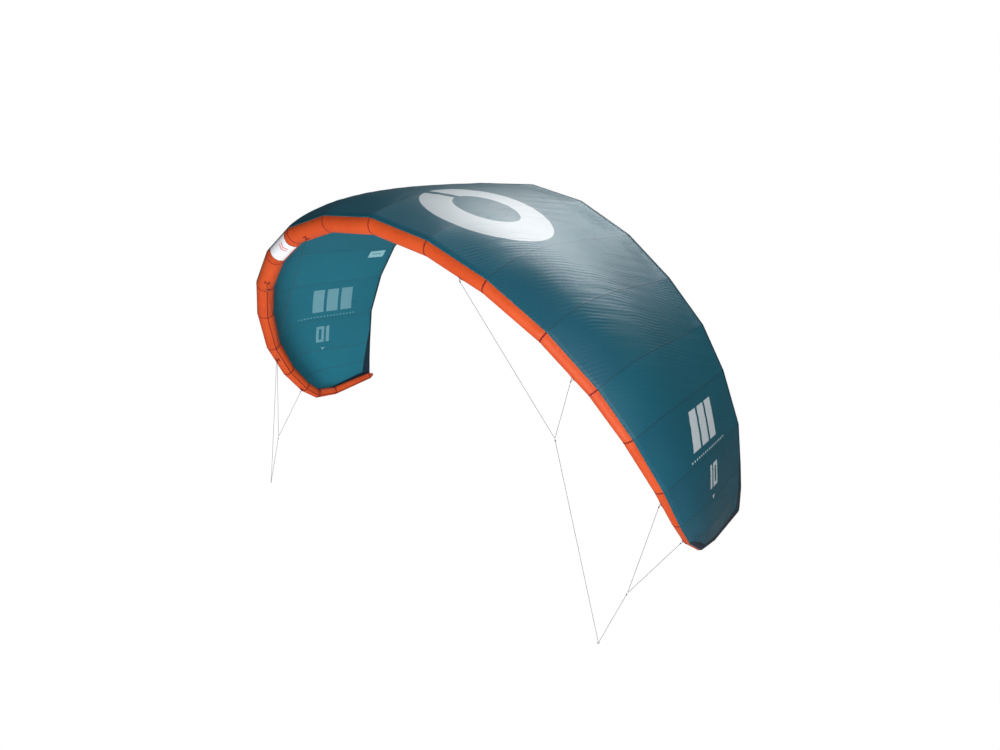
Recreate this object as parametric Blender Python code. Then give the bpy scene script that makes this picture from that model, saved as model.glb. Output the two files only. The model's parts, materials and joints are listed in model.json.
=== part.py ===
"""Strutless inflatable-leading-edge kitesurfing kite, about 10 square metres flat, 4.8 m wide as flown.

+X is spanwise, +Y runs from the leading edge back to the trailing edge, +Z is up.
The origin is the middle of the leading-edge tube at the centre seam.
The right wing (+X) is designed here, and the left wing is its mirror image.

Each wing is a chain of straight fabric tube segments joined at kinked seams.
The chain turns down around the arc and back along the wing tip.
The canopy is sewn to the front of the tube, wraps over it and runs back to a straight-sided trailing edge.
"""

import math

import bmesh
import bpy
from mathutils import Vector

# Leading-edge tube: one value for each segment, from the centre seam to the rear corner of the tip.
SEGMENT_LENGTHS = (0.578, 0.563, 0.545, 0.498, 0.408, 0.442, 0.346, 0.262, 0.168)
SWEEP_DEG = (2.2, 5.6, 10.6, 13.6, 17.8, 22.3, 29.8, 38.8, 52.5)
# Down-turn of each segment from level, which the canopy panel behind it shares.
ARC_DEG = (7.5, 19.5, 32.0, 43.5, 57.3, 68.5, 84.5, 95.5, 92.5)
# Along the wing tip the tube turns back: steps from seam 9 to seams 10 and 11.
TIP_STEPS = ((-0.030, 0.195, -0.016), (-0.060, 0.385, 0.074))
# Tube radius at seams 0 to 11.
TUBE_RADII = (0.085, 0.084, 0.083, 0.081, 0.078, 0.073, 0.066, 0.058, 0.051, 0.043, 0.035, 0.029)

# Trailing edge: straight runs between the panel seams, in one upright plane.
TRAILING_LENGTHS = (0.538, 0.531, 0.484, 0.452, 0.375, 0.420, 0.326, 0.183)
TRAILING_ARC_DEG = (6.5, 21.4, 33.6, 42.2, 56.5, 66.9, 82.5, 84.5)
TRAILING_Y = 1.670
TRAILING_START_Z = 0.067

# Canopy section: it leaves its seam on the tube, follows the tube and lifts off tangentially.
CANOPY_THICKNESS = 0.003
CANOPY_STANDOFF = 0.0014
CANOPY_SEAM_DEG = 46.0
# Lift-off angle at seams 0 to 8.
CANOPY_LIFT_DEGS = (15.0, 17.0, 24.0, 31.0, 30.0, 24.0, 20.0, 20.0, 20.0)
CANOPY_FRONT_HANDLE = 0.33
CANOPY_REAR_HANDLE = 0.42
CANOPY_REAR_DEG = 7.0
CANOPY_STEPS = 11
CANOPY_STEP_POWER = 1.25
PANEL_INSET = 0.001
PANEL_COUNT = 8
# Columns of the tip patch on each of the last three tube segments, and its extra angles behind the lift.
TIP_COLUMN_STEPS = (3, 3, 5)
TIP_CANOPY_END = 0.985
TIP_REAR_DEGS = (-15.0, 5.0)

# Tube construction.
TUBE_SIDES = 20
DACRON_WALL = 0.0015
BLADDER_GAP = 0.0040
BLADDER_WALL = 0.0010
JOINT_GAP = 0.0003
END_CAP_LENGTH = 0.045
END_CAP_RADIUS = 0.012

# Bridle tabs: tube segment, share of its length, and angle of the flat round the tube that carries the tab.
TAB_PLACES = ((2, 0.62, 143.0), (4, 0.68, 143.0), (7, 0.39, 125.0), (8, 0.90, 107.0))
FLAT_DEG = 125.0
TAB_LENGTH = 0.070
TAB_HALF_DEG = 16.0
TAB_THICKNESS = 0.0018
TAB_LIFT = 0.0010
# A tab stays between these shares of its segment.
TAB_SHARES = (0.01, 0.985)
# The loop's feet sink into the tab by this share of its thickness.
LOOP_SINK = 0.4
LOOP_RADIUS = 0.0090
LOOP_CORD_RADIUS = 0.0020
ANCHOR_OUT = 0.0150

# Bridle: two fans of line on each wing, whose leaders meet at the flying-line loop.
FRONT_KNOT = (1.621, 0.190, -1.295)
TIP_KNOT = (2.096, 0.461, -2.424)
LINE_LOOP = (1.993, 0.278, -2.794)
LINE_RADIUS = 0.0015
LINE_END_GAP = 0.0030
KNOT_BEND = 0.012
KNOT_CLEARANCE = 0.0075
LOOP_CLEARANCE = 0.0140
EYE_RADIUS = 0.0070
EYE_CORD_RADIUS = 0.0020

# Inflation valve, in the fourth segment of the left wing.
VALVE_SEGMENT = 4
VALVE_SHARE = 0.925
VALVE_DEG = 161.0
VALVE_FLANGE_RADIUS = 0.0135
VALVE_FLANGE_THICKNESS = 0.0012
VALVE_FLANGE_DEPTH = 0.0032
VALVE_NECK_RADIUS = 0.0100
VALVE_BORE_RADIUS = 0.0075
VALVE_NECK_HEIGHT = 0.0120
VALVE_CAP_RADIUS = 0.0150
VALVE_CAP_HEIGHT = 0.0070
VALVE_CAP_BEVEL = 0.0015
VALVE_STEM_RADIUS = 0.0062
VALVE_STEM_LENGTH = 0.0050
VALVE_SIDES = 20
VALVE_HOLE_CLEARANCE = 0.0006
# Half lengths of the cutters through the fabric tube and through the bladder.
TUBE_CUT_REACH = 0.006
BLADDER_CUT_REACH = 0.012

# Label band round the third segment of the left wing.
BAND_SEGMENT = 3
BAND_SHARES = (0.145, 0.795)
BAND_DEG = (53.0, 179.0)
BAND_THICKNESS = 0.0010
BAND_LIFT = 0.0012

# Base colour, roughness and metallic value of each kind of piece.
MATERIALS = {
    "tube_orange": ((0.60, 0.10, 0.022), 0.55, 0.0),
    "canopy_teal": ((0.020, 0.115, 0.155), 0.45, 0.0),
    "bladder_clear": ((0.75, 0.76, 0.74), 0.30, 0.0),
    "webbing_red": ((0.25, 0.020, 0.012), 0.80, 0.0),
    "bridle_grey": ((0.16, 0.16, 0.17), 0.70, 0.0),
    "valve_orange": ((0.50, 0.070, 0.018), 0.40, 0.0),
    "band_white": ((0.80, 0.81, 0.82), 0.50, 0.0),
}


def clear_scene():
    for item in list(bpy.data.objects):
        bpy.data.objects.remove(item, do_unlink=True)


def material(name):
    found = bpy.data.materials.get(name)
    if found:
        return found
    colour, roughness, metallic = MATERIALS[name]
    made = bpy.data.materials.new(name)
    made.use_nodes = True
    shader = made.node_tree.nodes["Principled BSDF"]
    shader.inputs["Base Color"].default_value = (*colour, 1.0)
    shader.inputs["Roughness"].default_value = roughness
    shader.inputs["Metallic"].default_value = metallic
    return made


def add_mesh(name, points, faces, colour, side=1, origin=None):
    """One object from points on the right wing. Side -1 mirrors it onto the left wing."""
    centre = Vector(origin) if origin else Vector()
    centre = Vector((side * centre.x, centre.y, centre.z))
    mesh = bpy.data.meshes.new(name)
    placed = [Vector((side * p.x, p.y, p.z)) - centre for p in points]
    turned = faces if side > 0 else [tuple(reversed(face)) for face in faces]
    mesh.from_pydata(placed, [], turned)
    mesh.validate()
    mesh.materials.append(material(colour))
    made = bpy.data.objects.new(name, mesh)
    made.location = centre
    bpy.context.scene.collection.objects.link(made)
    return made


def smooth(item, angle_deg=40.0):
    item.data.shade_smooth()
    item.data.set_sharp_from_angle(angle=math.radians(angle_deg))


def face_outwards(item):
    mesh = bmesh.new()
    mesh.from_mesh(item.data)
    bmesh.ops.recalc_face_normals(mesh, faces=mesh.faces)
    mesh.to_mesh(item.data)
    mesh.free()


# ---- stations along the wing ----


def seam_centres():
    """Centres of the tube at seams 0 to 11 of the right wing."""
    points = [Vector((0.0, 0.0, 0.0))]
    for length, sweep_deg, arc_deg in zip(SEGMENT_LENGTHS, SWEEP_DEG, ARC_DEG):
        sweep = math.radians(sweep_deg)
        arc = math.radians(arc_deg)
        flat = length * math.cos(sweep)
        step = Vector((flat * math.cos(arc), length * math.sin(sweep), -flat * math.sin(arc)))
        points.append(points[-1] + step)
    for step in TIP_STEPS:
        points.append(points[-1] + Vector(step))
    return points


def trailing_points():
    """Corners of the trailing edge, from 0 at the middle to 8 at the last panel seam."""
    points = [Vector((0.0, TRAILING_Y, TRAILING_START_Z))]
    for length, arc_deg in zip(TRAILING_LENGTHS, TRAILING_ARC_DEG):
        arc = math.radians(arc_deg)
        points.append(points[-1] + Vector((length * math.cos(arc), 0.0, -length * math.sin(arc))))
    return points


SEAMS = seam_centres()
TRAILING = trailing_points()
LAST_ARC_SEAM = len(ARC_DEG)
LAST_SEAM = len(SEAMS) - 1


def tube_direction(seam):
    """Direction of the tube at a seam: halfway between its two segments."""
    if seam == 0:
        return Vector((1.0, 0.0, 0.0))
    before = (SEAMS[seam] - SEAMS[seam - 1]).normalized()
    if seam == LAST_SEAM:
        return before
    return (before + (SEAMS[seam + 1] - SEAMS[seam]).normalized()).normalized()


def outward_lean(seam):
    """Angle of the outward direction from upright: half of each neighbour's arc angle."""
    if seam == 0:
        return 0.0
    if seam >= LAST_ARC_SEAM:
        return math.radians(ARC_DEG[-1])
    return math.radians((ARC_DEG[seam - 1] + ARC_DEG[seam]) / 2)


def frame_from(along, lean):
    """Outward and forward directions square to the tube."""
    raw = Vector((math.sin(lean), 0.0, math.cos(lean)))
    outward = (raw - along * raw.dot(along)).normalized()
    return outward, along.cross(outward)


def seam_frame(seam):
    return frame_from(tube_direction(seam), outward_lean(seam))


def around(seam, radius, angle_deg):
    """Point at a radius from the tube's centre. 0 degrees is outward and 90 is forward."""
    outward, forward = seam_frame(seam)
    angle = math.radians(angle_deg)
    return SEAMS[seam] + radius * (math.cos(angle) * outward + math.sin(angle) * forward)


# ---- leading-edge tube ----


def ring_angles():
    """Corner angles, set so that one flat faces the tabs and another faces the valve."""
    step = 360.0 / TUBE_SIDES
    return [FLAT_DEG + step * (side + 0.5) for side in range(TUBE_SIDES)]


def tube_ring(seam, inset):
    """Corners of the tube at a seam, reduced in radius by the inset."""
    return [around(seam, TUBE_RADII[seam] - inset, angle) for angle in ring_angles()]


def moved_along(ring_a, ring_b, distance):
    """The first ring, moved towards the second."""
    return [a + (b - a).normalized() * distance for a, b in zip(ring_a, ring_b)]


def shell_faces(ring_count, sides, closed_ends):
    """Quads of an open-ended wall: outer rings first, then the inner rings."""
    faces = []
    inner = ring_count * sides
    for ring in range(ring_count - 1):
        for side in range(sides):
            turn = (side + 1) % sides
            low = ring * sides
            high = low + sides
            faces.append((low + side, high + side, high + turn, low + turn))
            deep = inner + low
            deep_next = inner + high
            faces.append((deep + turn, deep_next + turn, deep_next + side, deep + side))
    last = (ring_count - 1) * sides
    if closed_ends:
        faces.append(tuple(range(sides)))
        faces.append(tuple(last + side for side in reversed(range(sides))))
        faces.append(tuple(inner + side for side in reversed(range(sides))))
        faces.append(tuple(inner + last + side for side in range(sides)))
        return faces
    for side in range(sides):
        turn = (side + 1) % sides
        faces.append((side, turn, inner + turn, inner + side))
        faces.append((last + turn, last + side, inner + last + side, inner + last + turn))
    return faces


def tube_rings(first, last, inset):
    rings = [tube_ring(seam, inset) for seam in range(first, last + 1)]
    start = moved_along(rings[0], rings[1], JOINT_GAP)
    end = moved_along(rings[-1], rings[-2], JOINT_GAP)
    return [start] + rings[1:-1] + [end]


def add_tube(name, first, last, side):
    """Hollow fabric tube between two seams."""
    rings = tube_rings(first, last, 0.0) + tube_rings(first, last, DACRON_WALL)
    points = [point for ring in rings for point in ring]
    faces = shell_faces(last - first + 1, TUBE_SIDES, False)
    made = add_mesh(name, points, faces, "tube_orange", side)
    face_outwards(made)
    smooth(made)
    return made


def add_tubes(side, wing):
    for segment in range(1, len(SEGMENT_LENGTHS) + 1):
        add_tube(f"le_segment_{segment}_{wing}", segment - 1, segment, side)
    add_tube(f"le_tip_tube_{wing}", LAST_ARC_SEAM, LAST_SEAM, side)


def add_end_cap(side, wing):
    """Folded and sewn end of the tube at the rear corner of the tip."""
    along = tube_direction(LAST_SEAM)
    wide = [point + along * JOINT_GAP * 2 for point in tube_ring(LAST_SEAM, 0.0)]
    centre = SEAMS[LAST_SEAM] + along * END_CAP_LENGTH
    inset = TUBE_RADII[LAST_SEAM] - END_CAP_RADIUS
    narrow = [point + along * END_CAP_LENGTH for point in tube_ring(LAST_SEAM, inset)]
    points = wide + narrow + [centre]
    tip = len(points) - 1
    faces = [tuple(range(TUBE_SIDES))]
    for corner in range(TUBE_SIDES):
        turn = (corner + 1) % TUBE_SIDES
        faces.append((corner, TUBE_SIDES + corner, TUBE_SIDES + turn, turn))
        faces.append((TUBE_SIDES + corner, tip, TUBE_SIDES + turn))
    made = add_mesh(f"le_end_cap_{wing}", points, faces, "tube_orange", side)
    face_outwards(made)
    smooth(made)


# ---- bladder ----


def bladder_rings(inset):
    """Rings from the left tip over the top to the right tip."""
    right = [tube_ring(seam, inset) for seam in range(LAST_SEAM + 1)]
    right[-1] = moved_along(right[-1], right[-2], inset)
    left = [[Vector((-p.x, p.y, p.z)) for p in ring] for ring in right[1:]]
    return left[::-1] + right


def add_bladder():
    """Airtight inner tube, from tip to tip. The valve's hole is cut through its wall."""
    outer = bladder_rings(DACRON_WALL + BLADDER_GAP)
    inner = bladder_rings(DACRON_WALL + BLADDER_GAP + BLADDER_WALL)
    points = [point for ring in outer + inner for point in ring]
    faces = shell_faces(len(outer), TUBE_SIDES, True)
    made = add_mesh("bladder", points, faces, "bladder_clear")
    face_outwards_with_cavity(made)
    smooth(made)
    return made


def face_outwards_with_cavity(item):
    """Outer skin faces out and the inner skin faces into the hollow."""
    mesh = bmesh.new()
    mesh.from_mesh(item.data)
    bmesh.ops.recalc_face_normals(mesh, faces=mesh.faces)
    mesh.faces.ensure_lookup_table()
    skins = []
    left = set(mesh.faces)
    while left:
        island = set()
        front = [left.pop()]
        while front:
            face = front.pop()
            island.add(face)
            for edge in face.edges:
                for other in edge.link_faces:
                    if other in left:
                        left.discard(other)
                        front.append(other)
        skins.append(list(island))
    skins.sort(key=lambda faces: -sum(face.calc_area() for face in faces))
    bmesh.ops.reverse_faces(mesh, faces=skins[1])
    mesh.to_mesh(item.data)
    mesh.free()


# ---- canopy ----


def curve_point(a, b, c, d, share):
    """Point on a cubic curve through a and d, with handles b and c."""
    rest = 1.0 - share
    return a * rest**3 + b * 3 * rest * rest * share + c * 3 * rest * share * share + d * share**3


def lift_curve(seam, radius, share):
    """The free part of a canopy section, from where it lifts off the tube to the trailing edge."""
    centre = SEAMS[seam]
    target = TRAILING[seam]
    outward, forward = seam_frame(seam)
    lift = math.radians(CANOPY_LIFT_DEGS[seam])
    start = centre + radius * (math.cos(lift) * outward + math.sin(lift) * forward)
    leave = math.sin(lift) * outward - math.cos(lift) * forward
    chord = (target - centre).normalized()
    rear = math.radians(CANOPY_REAR_DEG)
    arrive = math.cos(rear) * chord - math.sin(rear) * outward
    reach = (target - start).length
    front_handle = start + leave * (CANOPY_FRONT_HANDLE * reach)
    rear_handle = target - arrive * (CANOPY_REAR_HANDLE * reach)
    return curve_point(start, front_handle, rear_handle, target, share)


def wrap_angles(lift_deg):
    """Angles of the part sewn down round the tube, ending just before it lifts off."""
    return (CANOPY_SEAM_DEG, (CANOPY_SEAM_DEG + lift_deg) / 2)


def section_shares():
    """Shares along the free part, closer together at the front."""
    return [(step / CANOPY_STEPS) ** CANOPY_STEP_POWER for step in range(CANOPY_STEPS + 1)]


def canopy_section(seam):
    """Inner face of the canopy along one panel seam, from the tube to the trailing edge."""
    radius = TUBE_RADII[seam] + CANOPY_STANDOFF
    points = [around(seam, radius, angle) for angle in wrap_angles(CANOPY_LIFT_DEGS[seam])]
    return points + [lift_curve(seam, radius, share) for share in section_shares()]


def between(row_a, row_b, share):
    return [a.lerp(b, share) for a, b in zip(row_a, row_b)]


def grid_faces(rows, columns, first=0):
    faces = []
    for row in range(rows - 1):
        for column in range(columns - 1):
            low = first + row * columns + column
            faces.append((low, low + columns, low + columns + 1, low + 1))
    return faces


def tip_place(seam, blend):
    """Centre, outward, forward and canopy radius, part of the way from a seam to the next."""
    centre = SEAMS[seam].lerp(SEAMS[seam + 1], blend)
    outward_a, forward_a = seam_frame(seam)
    outward_b, forward_b = seam_frame(seam + 1)
    outward = outward_a.lerp(outward_b, blend).normalized()
    forward = forward_a.lerp(forward_b, blend).normalized()
    radius = TUBE_RADII[seam] + (TUBE_RADII[seam + 1] - TUBE_RADII[seam]) * blend
    return centre, outward, forward, radius + CANOPY_STANDOFF


def tip_places():
    """Places down the tip tube, with one on each of its seams."""
    places = []
    for seam, steps in zip(range(PANEL_COUNT, LAST_SEAM), TIP_COLUMN_STEPS):
        places += [(seam, (step + 1) / steps) for step in range(steps)]
    places[-1] = (places[-1][0], TIP_CANOPY_END)
    return places


def tip_column(place, top):
    """Points from below the last panel seam down round the tip tube."""
    centre, outward, forward, radius = tip_place(*place)
    lift_deg = CANOPY_LIFT_DEGS[PANEL_COUNT]
    wrapped = []
    for angle_deg in (*TIP_REAR_DEGS, lift_deg, *reversed(wrap_angles(lift_deg))):
        angle = math.radians(angle_deg)
        wrapped.append(centre + radius * (math.cos(angle) * outward + math.sin(angle) * forward))
    return [top.lerp(wrapped[0], 0.5)] + wrapped


def add_tip_panel(side, wing):
    """Last panel: seam 7 to seam 8, and the patch that closes the tip below seam 8."""
    upper = between(canopy_section(7), canopy_section(8), PANEL_INSET)
    lower = canopy_section(8)
    columns = len(lower)
    points = upper + lower
    faces = grid_faces(2, columns)
    lift = columns - len(section_shares())
    rear = range(lift + 1, columns)
    first = len(points)
    for column, place in zip(rear, tip_places()):
        points += tip_column(place, lower[column])
    depth = (len(points) - first) // len(rear)
    for order, column in enumerate(rear[:-1]):
        here = first + order * depth
        there = here + depth
        faces.append((columns + column, here, there, columns + column + 1))
        for step in range(depth - 1):
            faces.append((here + step, here + step + 1, there + step + 1, there + step))
    # At seam 8 the patch closes onto the seam's own wrapped part.
    seam_points = [columns + lift - step for step in range(3)]
    behind = columns + rear[0]
    foot = first + depth - 1
    faces.append((seam_points[1], seam_points[2], foot, foot - 1))
    faces.append((seam_points[0], seam_points[1], foot - 1, foot - 2))
    faces.append((seam_points[0], foot - 2, foot - 3))
    faces.append((seam_points[0], foot - 3, behind))
    faces.append((behind, foot - 3, foot - 4))
    faces.append((behind, foot - 4, foot - 5))
    finish_panel(f"canopy_panel_{PANEL_COUNT}_{wing}", points, faces, side)


def finish_panel(name, points, faces, side):
    made = add_mesh(name, points, faces, "canopy_teal", side)
    smooth(made, 60.0)
    mesh = bmesh.new()
    mesh.from_mesh(made.data)
    bmesh.ops.triangulate(mesh, faces=mesh.faces)
    mesh.to_mesh(made.data)
    mesh.free()
    cloth = made.modifiers.new("cloth_thickness", "SOLIDIFY")
    cloth.thickness = CANOPY_THICKNESS
    cloth.offset = 1.0
    cloth.use_rim = True
    return made


def add_canopy(side, wing):
    for panel in range(1, PANEL_COUNT):
        inner = canopy_section(panel - 1)
        outer = canopy_section(panel)
        near = between(inner, outer, PANEL_INSET)
        far = between(inner, outer, 1.0 - PANEL_INSET)
        faces = grid_faces(2, len(near))
        finish_panel(f"canopy_panel_{panel}_{wing}", near + far, faces, side)
    add_tip_panel(side, wing)


# ---- pieces that sit on the tube ----


def surface_place(segment, share, angle_deg):
    """Centre, outward normal and along direction of the tube's flat at a place on a segment."""
    along = (SEAMS[segment] - SEAMS[segment - 1]).normalized()
    half = math.radians(180.0 / TUBE_SIDES)
    corners = []
    for turn in (-1, 1):
        for seam in (segment - 1, segment):
            corners.append(around(seam, TUBE_RADII[seam], angle_deg + turn * math.degrees(half)))
    low = corners[0].lerp(corners[1], share)
    high = corners[2].lerp(corners[3], share)
    centre = (low + high) / 2
    normal = (high - low).cross(along).normalized()
    axis = SEAMS[segment - 1].lerp(SEAMS[segment], share)
    if normal.dot(centre - axis) < 0:
        normal.negate()
    along = (along - normal * along.dot(normal)).normalized()
    return centre, normal, along


def mirrored_vector(vector, side):
    return Vector((side * vector.x, vector.y, vector.z))


def tab_anchor(number):
    """Point just off the tab's loop, where the bridle line is tied."""
    segment, share, angle = TAB_PLACES[number]
    centre, normal, _ = surface_place(segment, share, angle)
    return centre + normal * ANCHOR_OUT


def tube_skin_point(segment, share, angle_deg, lift):
    """Point on the faceted tube at any angle, lifted off it."""
    step = 360.0 / TUBE_SIDES
    first = FLAT_DEG + step * 0.5
    turn = (angle_deg - first) / step
    low_angle = first + math.floor(turn) * step
    blend = turn - math.floor(turn)
    seams = (segment - 1, segment)
    low = [around(seam, TUBE_RADII[seam] + lift, low_angle) for seam in seams]
    high = [around(seam, TUBE_RADII[seam] + lift, low_angle + step) for seam in seams]
    return low[0].lerp(low[1], share).lerp(high[0].lerp(high[1], share), blend)


def wrapped_patch(segment, shares, angles, lift, thickness):
    """Points and faces of a patch that follows the faceted tube."""
    points = []
    for height in (lift, lift + thickness):
        for share in shares:
            points += [tube_skin_point(segment, share, angle, height) for angle in angles]
    rows = len(shares)
    columns = len(angles)
    layer = rows * columns
    faces = [tuple(reversed(face)) for face in grid_faces(rows, columns)]
    faces += grid_faces(rows, columns, layer)
    rim = [(0, column) for column in range(columns)]
    rim += [(row, columns - 1) for row in range(1, rows)]
    rim += [(rows - 1, column) for column in reversed(range(columns - 1))]
    rim += [(row, 0) for row in reversed(range(1, rows - 1))]
    loop = [row * columns + column for row, column in rim]
    for here, there in zip(loop, loop[1:] + loop[:1]):
        faces.append((here, there, layer + there, layer + here))
    return points, faces


def half_ring(centre, across, up, radius, cord, steps=8, sides=8):
    """Points and faces of a half ring of cord standing on the tab, closed at both feet."""
    points = []
    side_way = across.cross(up)
    for step in range(steps + 1):
        turn = math.pi * step / steps
        out = math.cos(turn) * across + math.sin(turn) * up
        for side in range(sides):
            angle = 2 * math.pi * side / sides
            offset = cord * (math.cos(angle) * out + math.sin(angle) * side_way)
            points.append(centre + radius * out + offset)
    faces = []
    for step in range(steps):
        for side in range(sides):
            turn = (side + 1) % sides
            low = step * sides
            faces.append((low + side, low + turn, low + sides + turn, low + sides + side))
    faces.append(tuple(reversed(range(sides))))
    faces.append(tuple(steps * sides + side for side in range(sides)))
    return points, faces


def add_cutter(name, points, faces, side=1):
    made = add_mesh(name, points, faces, "webbing_red", side)
    face_outwards(made)
    made.hide_render = True
    made.display_type = "WIRE"
    return made


def add_boolean(item, other, operation):
    change = item.modifiers.new(other.name, "BOOLEAN")
    change.operation = operation
    change.solver = "EXACT"
    change.object = other


def add_tab(number, side, wing):
    """Webbing tab sewn to the tube, with a standing loop for the bridle line."""
    segment, share, angle = TAB_PLACES[number]
    length = (SEAMS[segment] - SEAMS[segment - 1]).length
    half = TAB_LENGTH / 2 / length
    step = 360.0 / TUBE_SIDES
    angles = [angle + turn for turn in (-TAB_HALF_DEG, -step / 2, step / 2, TAB_HALF_DEG)]
    start = max(share - half, TAB_SHARES[0])
    end = min(share + half, TAB_SHARES[1])
    points, faces = wrapped_patch(segment, (start, end), angles, TAB_LIFT, TAB_THICKNESS)
    tab = add_mesh(f"bridle_tab_{number + 1}_{wing}", points, faces, "webbing_red", side)
    face_outwards(tab)
    centre, normal, along = surface_place(segment, share, angle)
    foot = centre + normal * (TAB_LIFT + TAB_THICKNESS * (1.0 - LOOP_SINK))
    ring_points, ring_faces = half_ring(foot, along, normal, LOOP_RADIUS, LOOP_CORD_RADIUS)
    loop = add_cutter(f"tab_loop_shape_{number + 1}_{wing}", ring_points, ring_faces, side)
    add_boolean(tab, loop, "UNION")


# ---- bridle ----


def add_cord(name, points, side):
    curve = bpy.data.curves.new(name, "CURVE")
    curve.dimensions = "3D"
    curve.bevel_depth = LINE_RADIUS
    curve.bevel_resolution = 2
    curve.use_fill_caps = True
    origin = mirrored_vector(points[0], side)
    spline = curve.splines.new("POLY")
    spline.points.add(len(points) - 1)
    for place, point in zip(spline.points, points):
        place.co = (*(mirrored_vector(point, side) - origin), 1.0)
    curve.materials.append(material("bridle_grey"))
    made = bpy.data.objects.new(name, curve)
    made.location = origin
    bpy.context.scene.collection.objects.link(made)
    return made


def straight_run(start, end, count):
    return [start.lerp(end, step / (count - 1)) for step in range(count)]


def fan_route(first_tab, knot, second_tab):
    """Taut line from one tab down to the knot and back up to the next tab."""
    first = tab_anchor(first_tab)
    second = tab_anchor(second_tab)
    down = (knot - first).normalized()
    rise = (second - knot).normalized()
    start = first + down * LINE_END_GAP
    end = second - rise * LINE_END_GAP
    bend_in = knot - down * KNOT_BEND
    bend_out = knot + rise * KNOT_BEND
    bend = []
    for step in range(1, 7):
        share = step / 7
        rest = 1.0 - share
        bend.append(bend_in * rest**2 + knot * 2 * rest * share + bend_out * share**2)
    return straight_run(start, bend_in, 10) + bend + straight_run(bend_out, end, 10)


def leader_route(knot, loop, loop_clearance):
    """Straight line from just below a knot to just short of the flying-line loop."""
    down = (loop - knot).normalized()
    return straight_run(knot + down * KNOT_CLEARANCE, loop - down * loop_clearance, 12)


def ring_solid(centre, across, up, radius, cord, steps=16, sides=8):
    points = []
    side_way = across.cross(up)
    for step in range(steps):
        turn = 2 * math.pi * step / steps
        out = math.cos(turn) * across + math.sin(turn) * up
        for side in range(sides):
            angle = 2 * math.pi * side / sides
            offset = cord * (math.cos(angle) * out + math.sin(angle) * side_way)
            points.append(centre + radius * out + offset)
    faces = []
    for step in range(steps):
        next_step = (step + 1) % steps
        for side in range(sides):
            turn = (side + 1) % sides
            low = step * sides
            high = next_step * sides
            faces.append((low + side, low + turn, high + turn, high + side))
    return points, faces


def add_bridle(side, wing):
    front = Vector(FRONT_KNOT)
    tip = Vector(TIP_KNOT)
    loop = Vector(LINE_LOOP)
    add_cord(f"bridle_front_fan_{wing}", fan_route(0, front, 1), side)
    add_cord(f"bridle_tip_fan_{wing}", fan_route(2, tip, 3), side)
    add_cord(f"bridle_front_leader_{wing}", leader_route(front, loop, LOOP_CLEARANCE), side)
    to_eye = EYE_RADIUS + EYE_CORD_RADIUS + JOINT_GAP
    add_cord(f"bridle_tip_leader_{wing}", leader_route(tip, loop, to_eye), side)
    up = ((tip - loop).normalized() + (front - loop).normalized()).normalized()
    across = (tip - loop).cross(front - loop).normalized().cross(up)
    points, faces = ring_solid(loop, across, up, EYE_RADIUS, EYE_CORD_RADIUS)
    eye = add_mesh(f"front_line_loop_{wing}", points, faces, "webbing_red", side, LINE_LOOP)
    face_outwards(eye)
    smooth(eye)


# ---- valve and label band on the left wing ----


def turned_solid(profile, centre, normal, along, sides):
    """Points and faces of a closed profile (radius, height) turned about the normal."""
    across = normal.cross(along)
    points = []
    for radius, height in profile:
        for side in range(sides):
            angle = 2 * math.pi * side / sides
            way = math.cos(angle) * along + math.sin(angle) * across
            points.append(centre + normal * height + way * radius)
    faces = []
    count = len(profile)
    for row in range(count):
        next_row = (row + 1) % count
        for side in range(sides):
            turn = (side + 1) % sides
            low = row * sides
            high = next_row * sides
            faces.append((low + side, low + turn, high + turn, high + side))
    return points, faces


def closed_turned_solid(profile, centre, normal, along, sides):
    """The same for a profile whose first and last points lie on the axis."""
    rim = profile[1:-1]
    points, faces = turned_solid(rim, centre, normal, along, sides)
    faces = faces[: (len(rim) - 1) * sides]
    points.append(centre + normal * profile[0][1])
    points.append(centre + normal * profile[-1][1])
    start = len(points) - 2
    last = (len(rim) - 1) * sides
    for side in range(sides):
        turn = (side + 1) % sides
        faces.append((start, turn, side))
        faces.append((start + 1, last + side, last + turn))
    return points, faces


def add_valve(bladder, segment_tube):
    """Valve base welded to the bladder, with a neck through the fabric tube, and its hinged plug."""
    centre, normal, along = surface_place(VALVE_SEGMENT, VALVE_SHARE, VALVE_DEG)
    flange_high = -VALVE_FLANGE_DEPTH
    flange_low = flange_high - VALVE_FLANGE_THICKNESS
    profile = (
        (VALVE_BORE_RADIUS, flange_low),
        (VALVE_FLANGE_RADIUS, flange_low),
        (VALVE_FLANGE_RADIUS, flange_high),
        (VALVE_NECK_RADIUS, flange_high),
        (VALVE_NECK_RADIUS, VALVE_NECK_HEIGHT),
        (VALVE_BORE_RADIUS, VALVE_NECK_HEIGHT),
    )
    points, faces = turned_solid(profile, centre, normal, along, VALVE_SIDES)
    base = add_mesh("valve_base", points, faces, "valve_orange", -1)
    face_outwards(base)
    smooth(base)
    place = (centre, normal, along)
    neck_hole = VALVE_NECK_RADIUS + VALVE_HOLE_CLEARANCE
    cut_hole("valve_tube_cutter", segment_tube, place, neck_hole, TUBE_CUT_REACH)
    cut_hole("valve_bladder_cutter", bladder, place, VALVE_BORE_RADIUS, BLADDER_CUT_REACH)
    add_valve_cap(*place)


def cut_hole(name, item, place, radius, reach):
    profile = ((0.0, -reach), (radius, -reach), (radius, reach), (0.0, reach))
    points, faces = closed_turned_solid(profile, *place, VALVE_SIDES)
    cutter = add_cutter(name, points, faces, -1)
    add_boolean(item, cutter, "DIFFERENCE")


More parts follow.
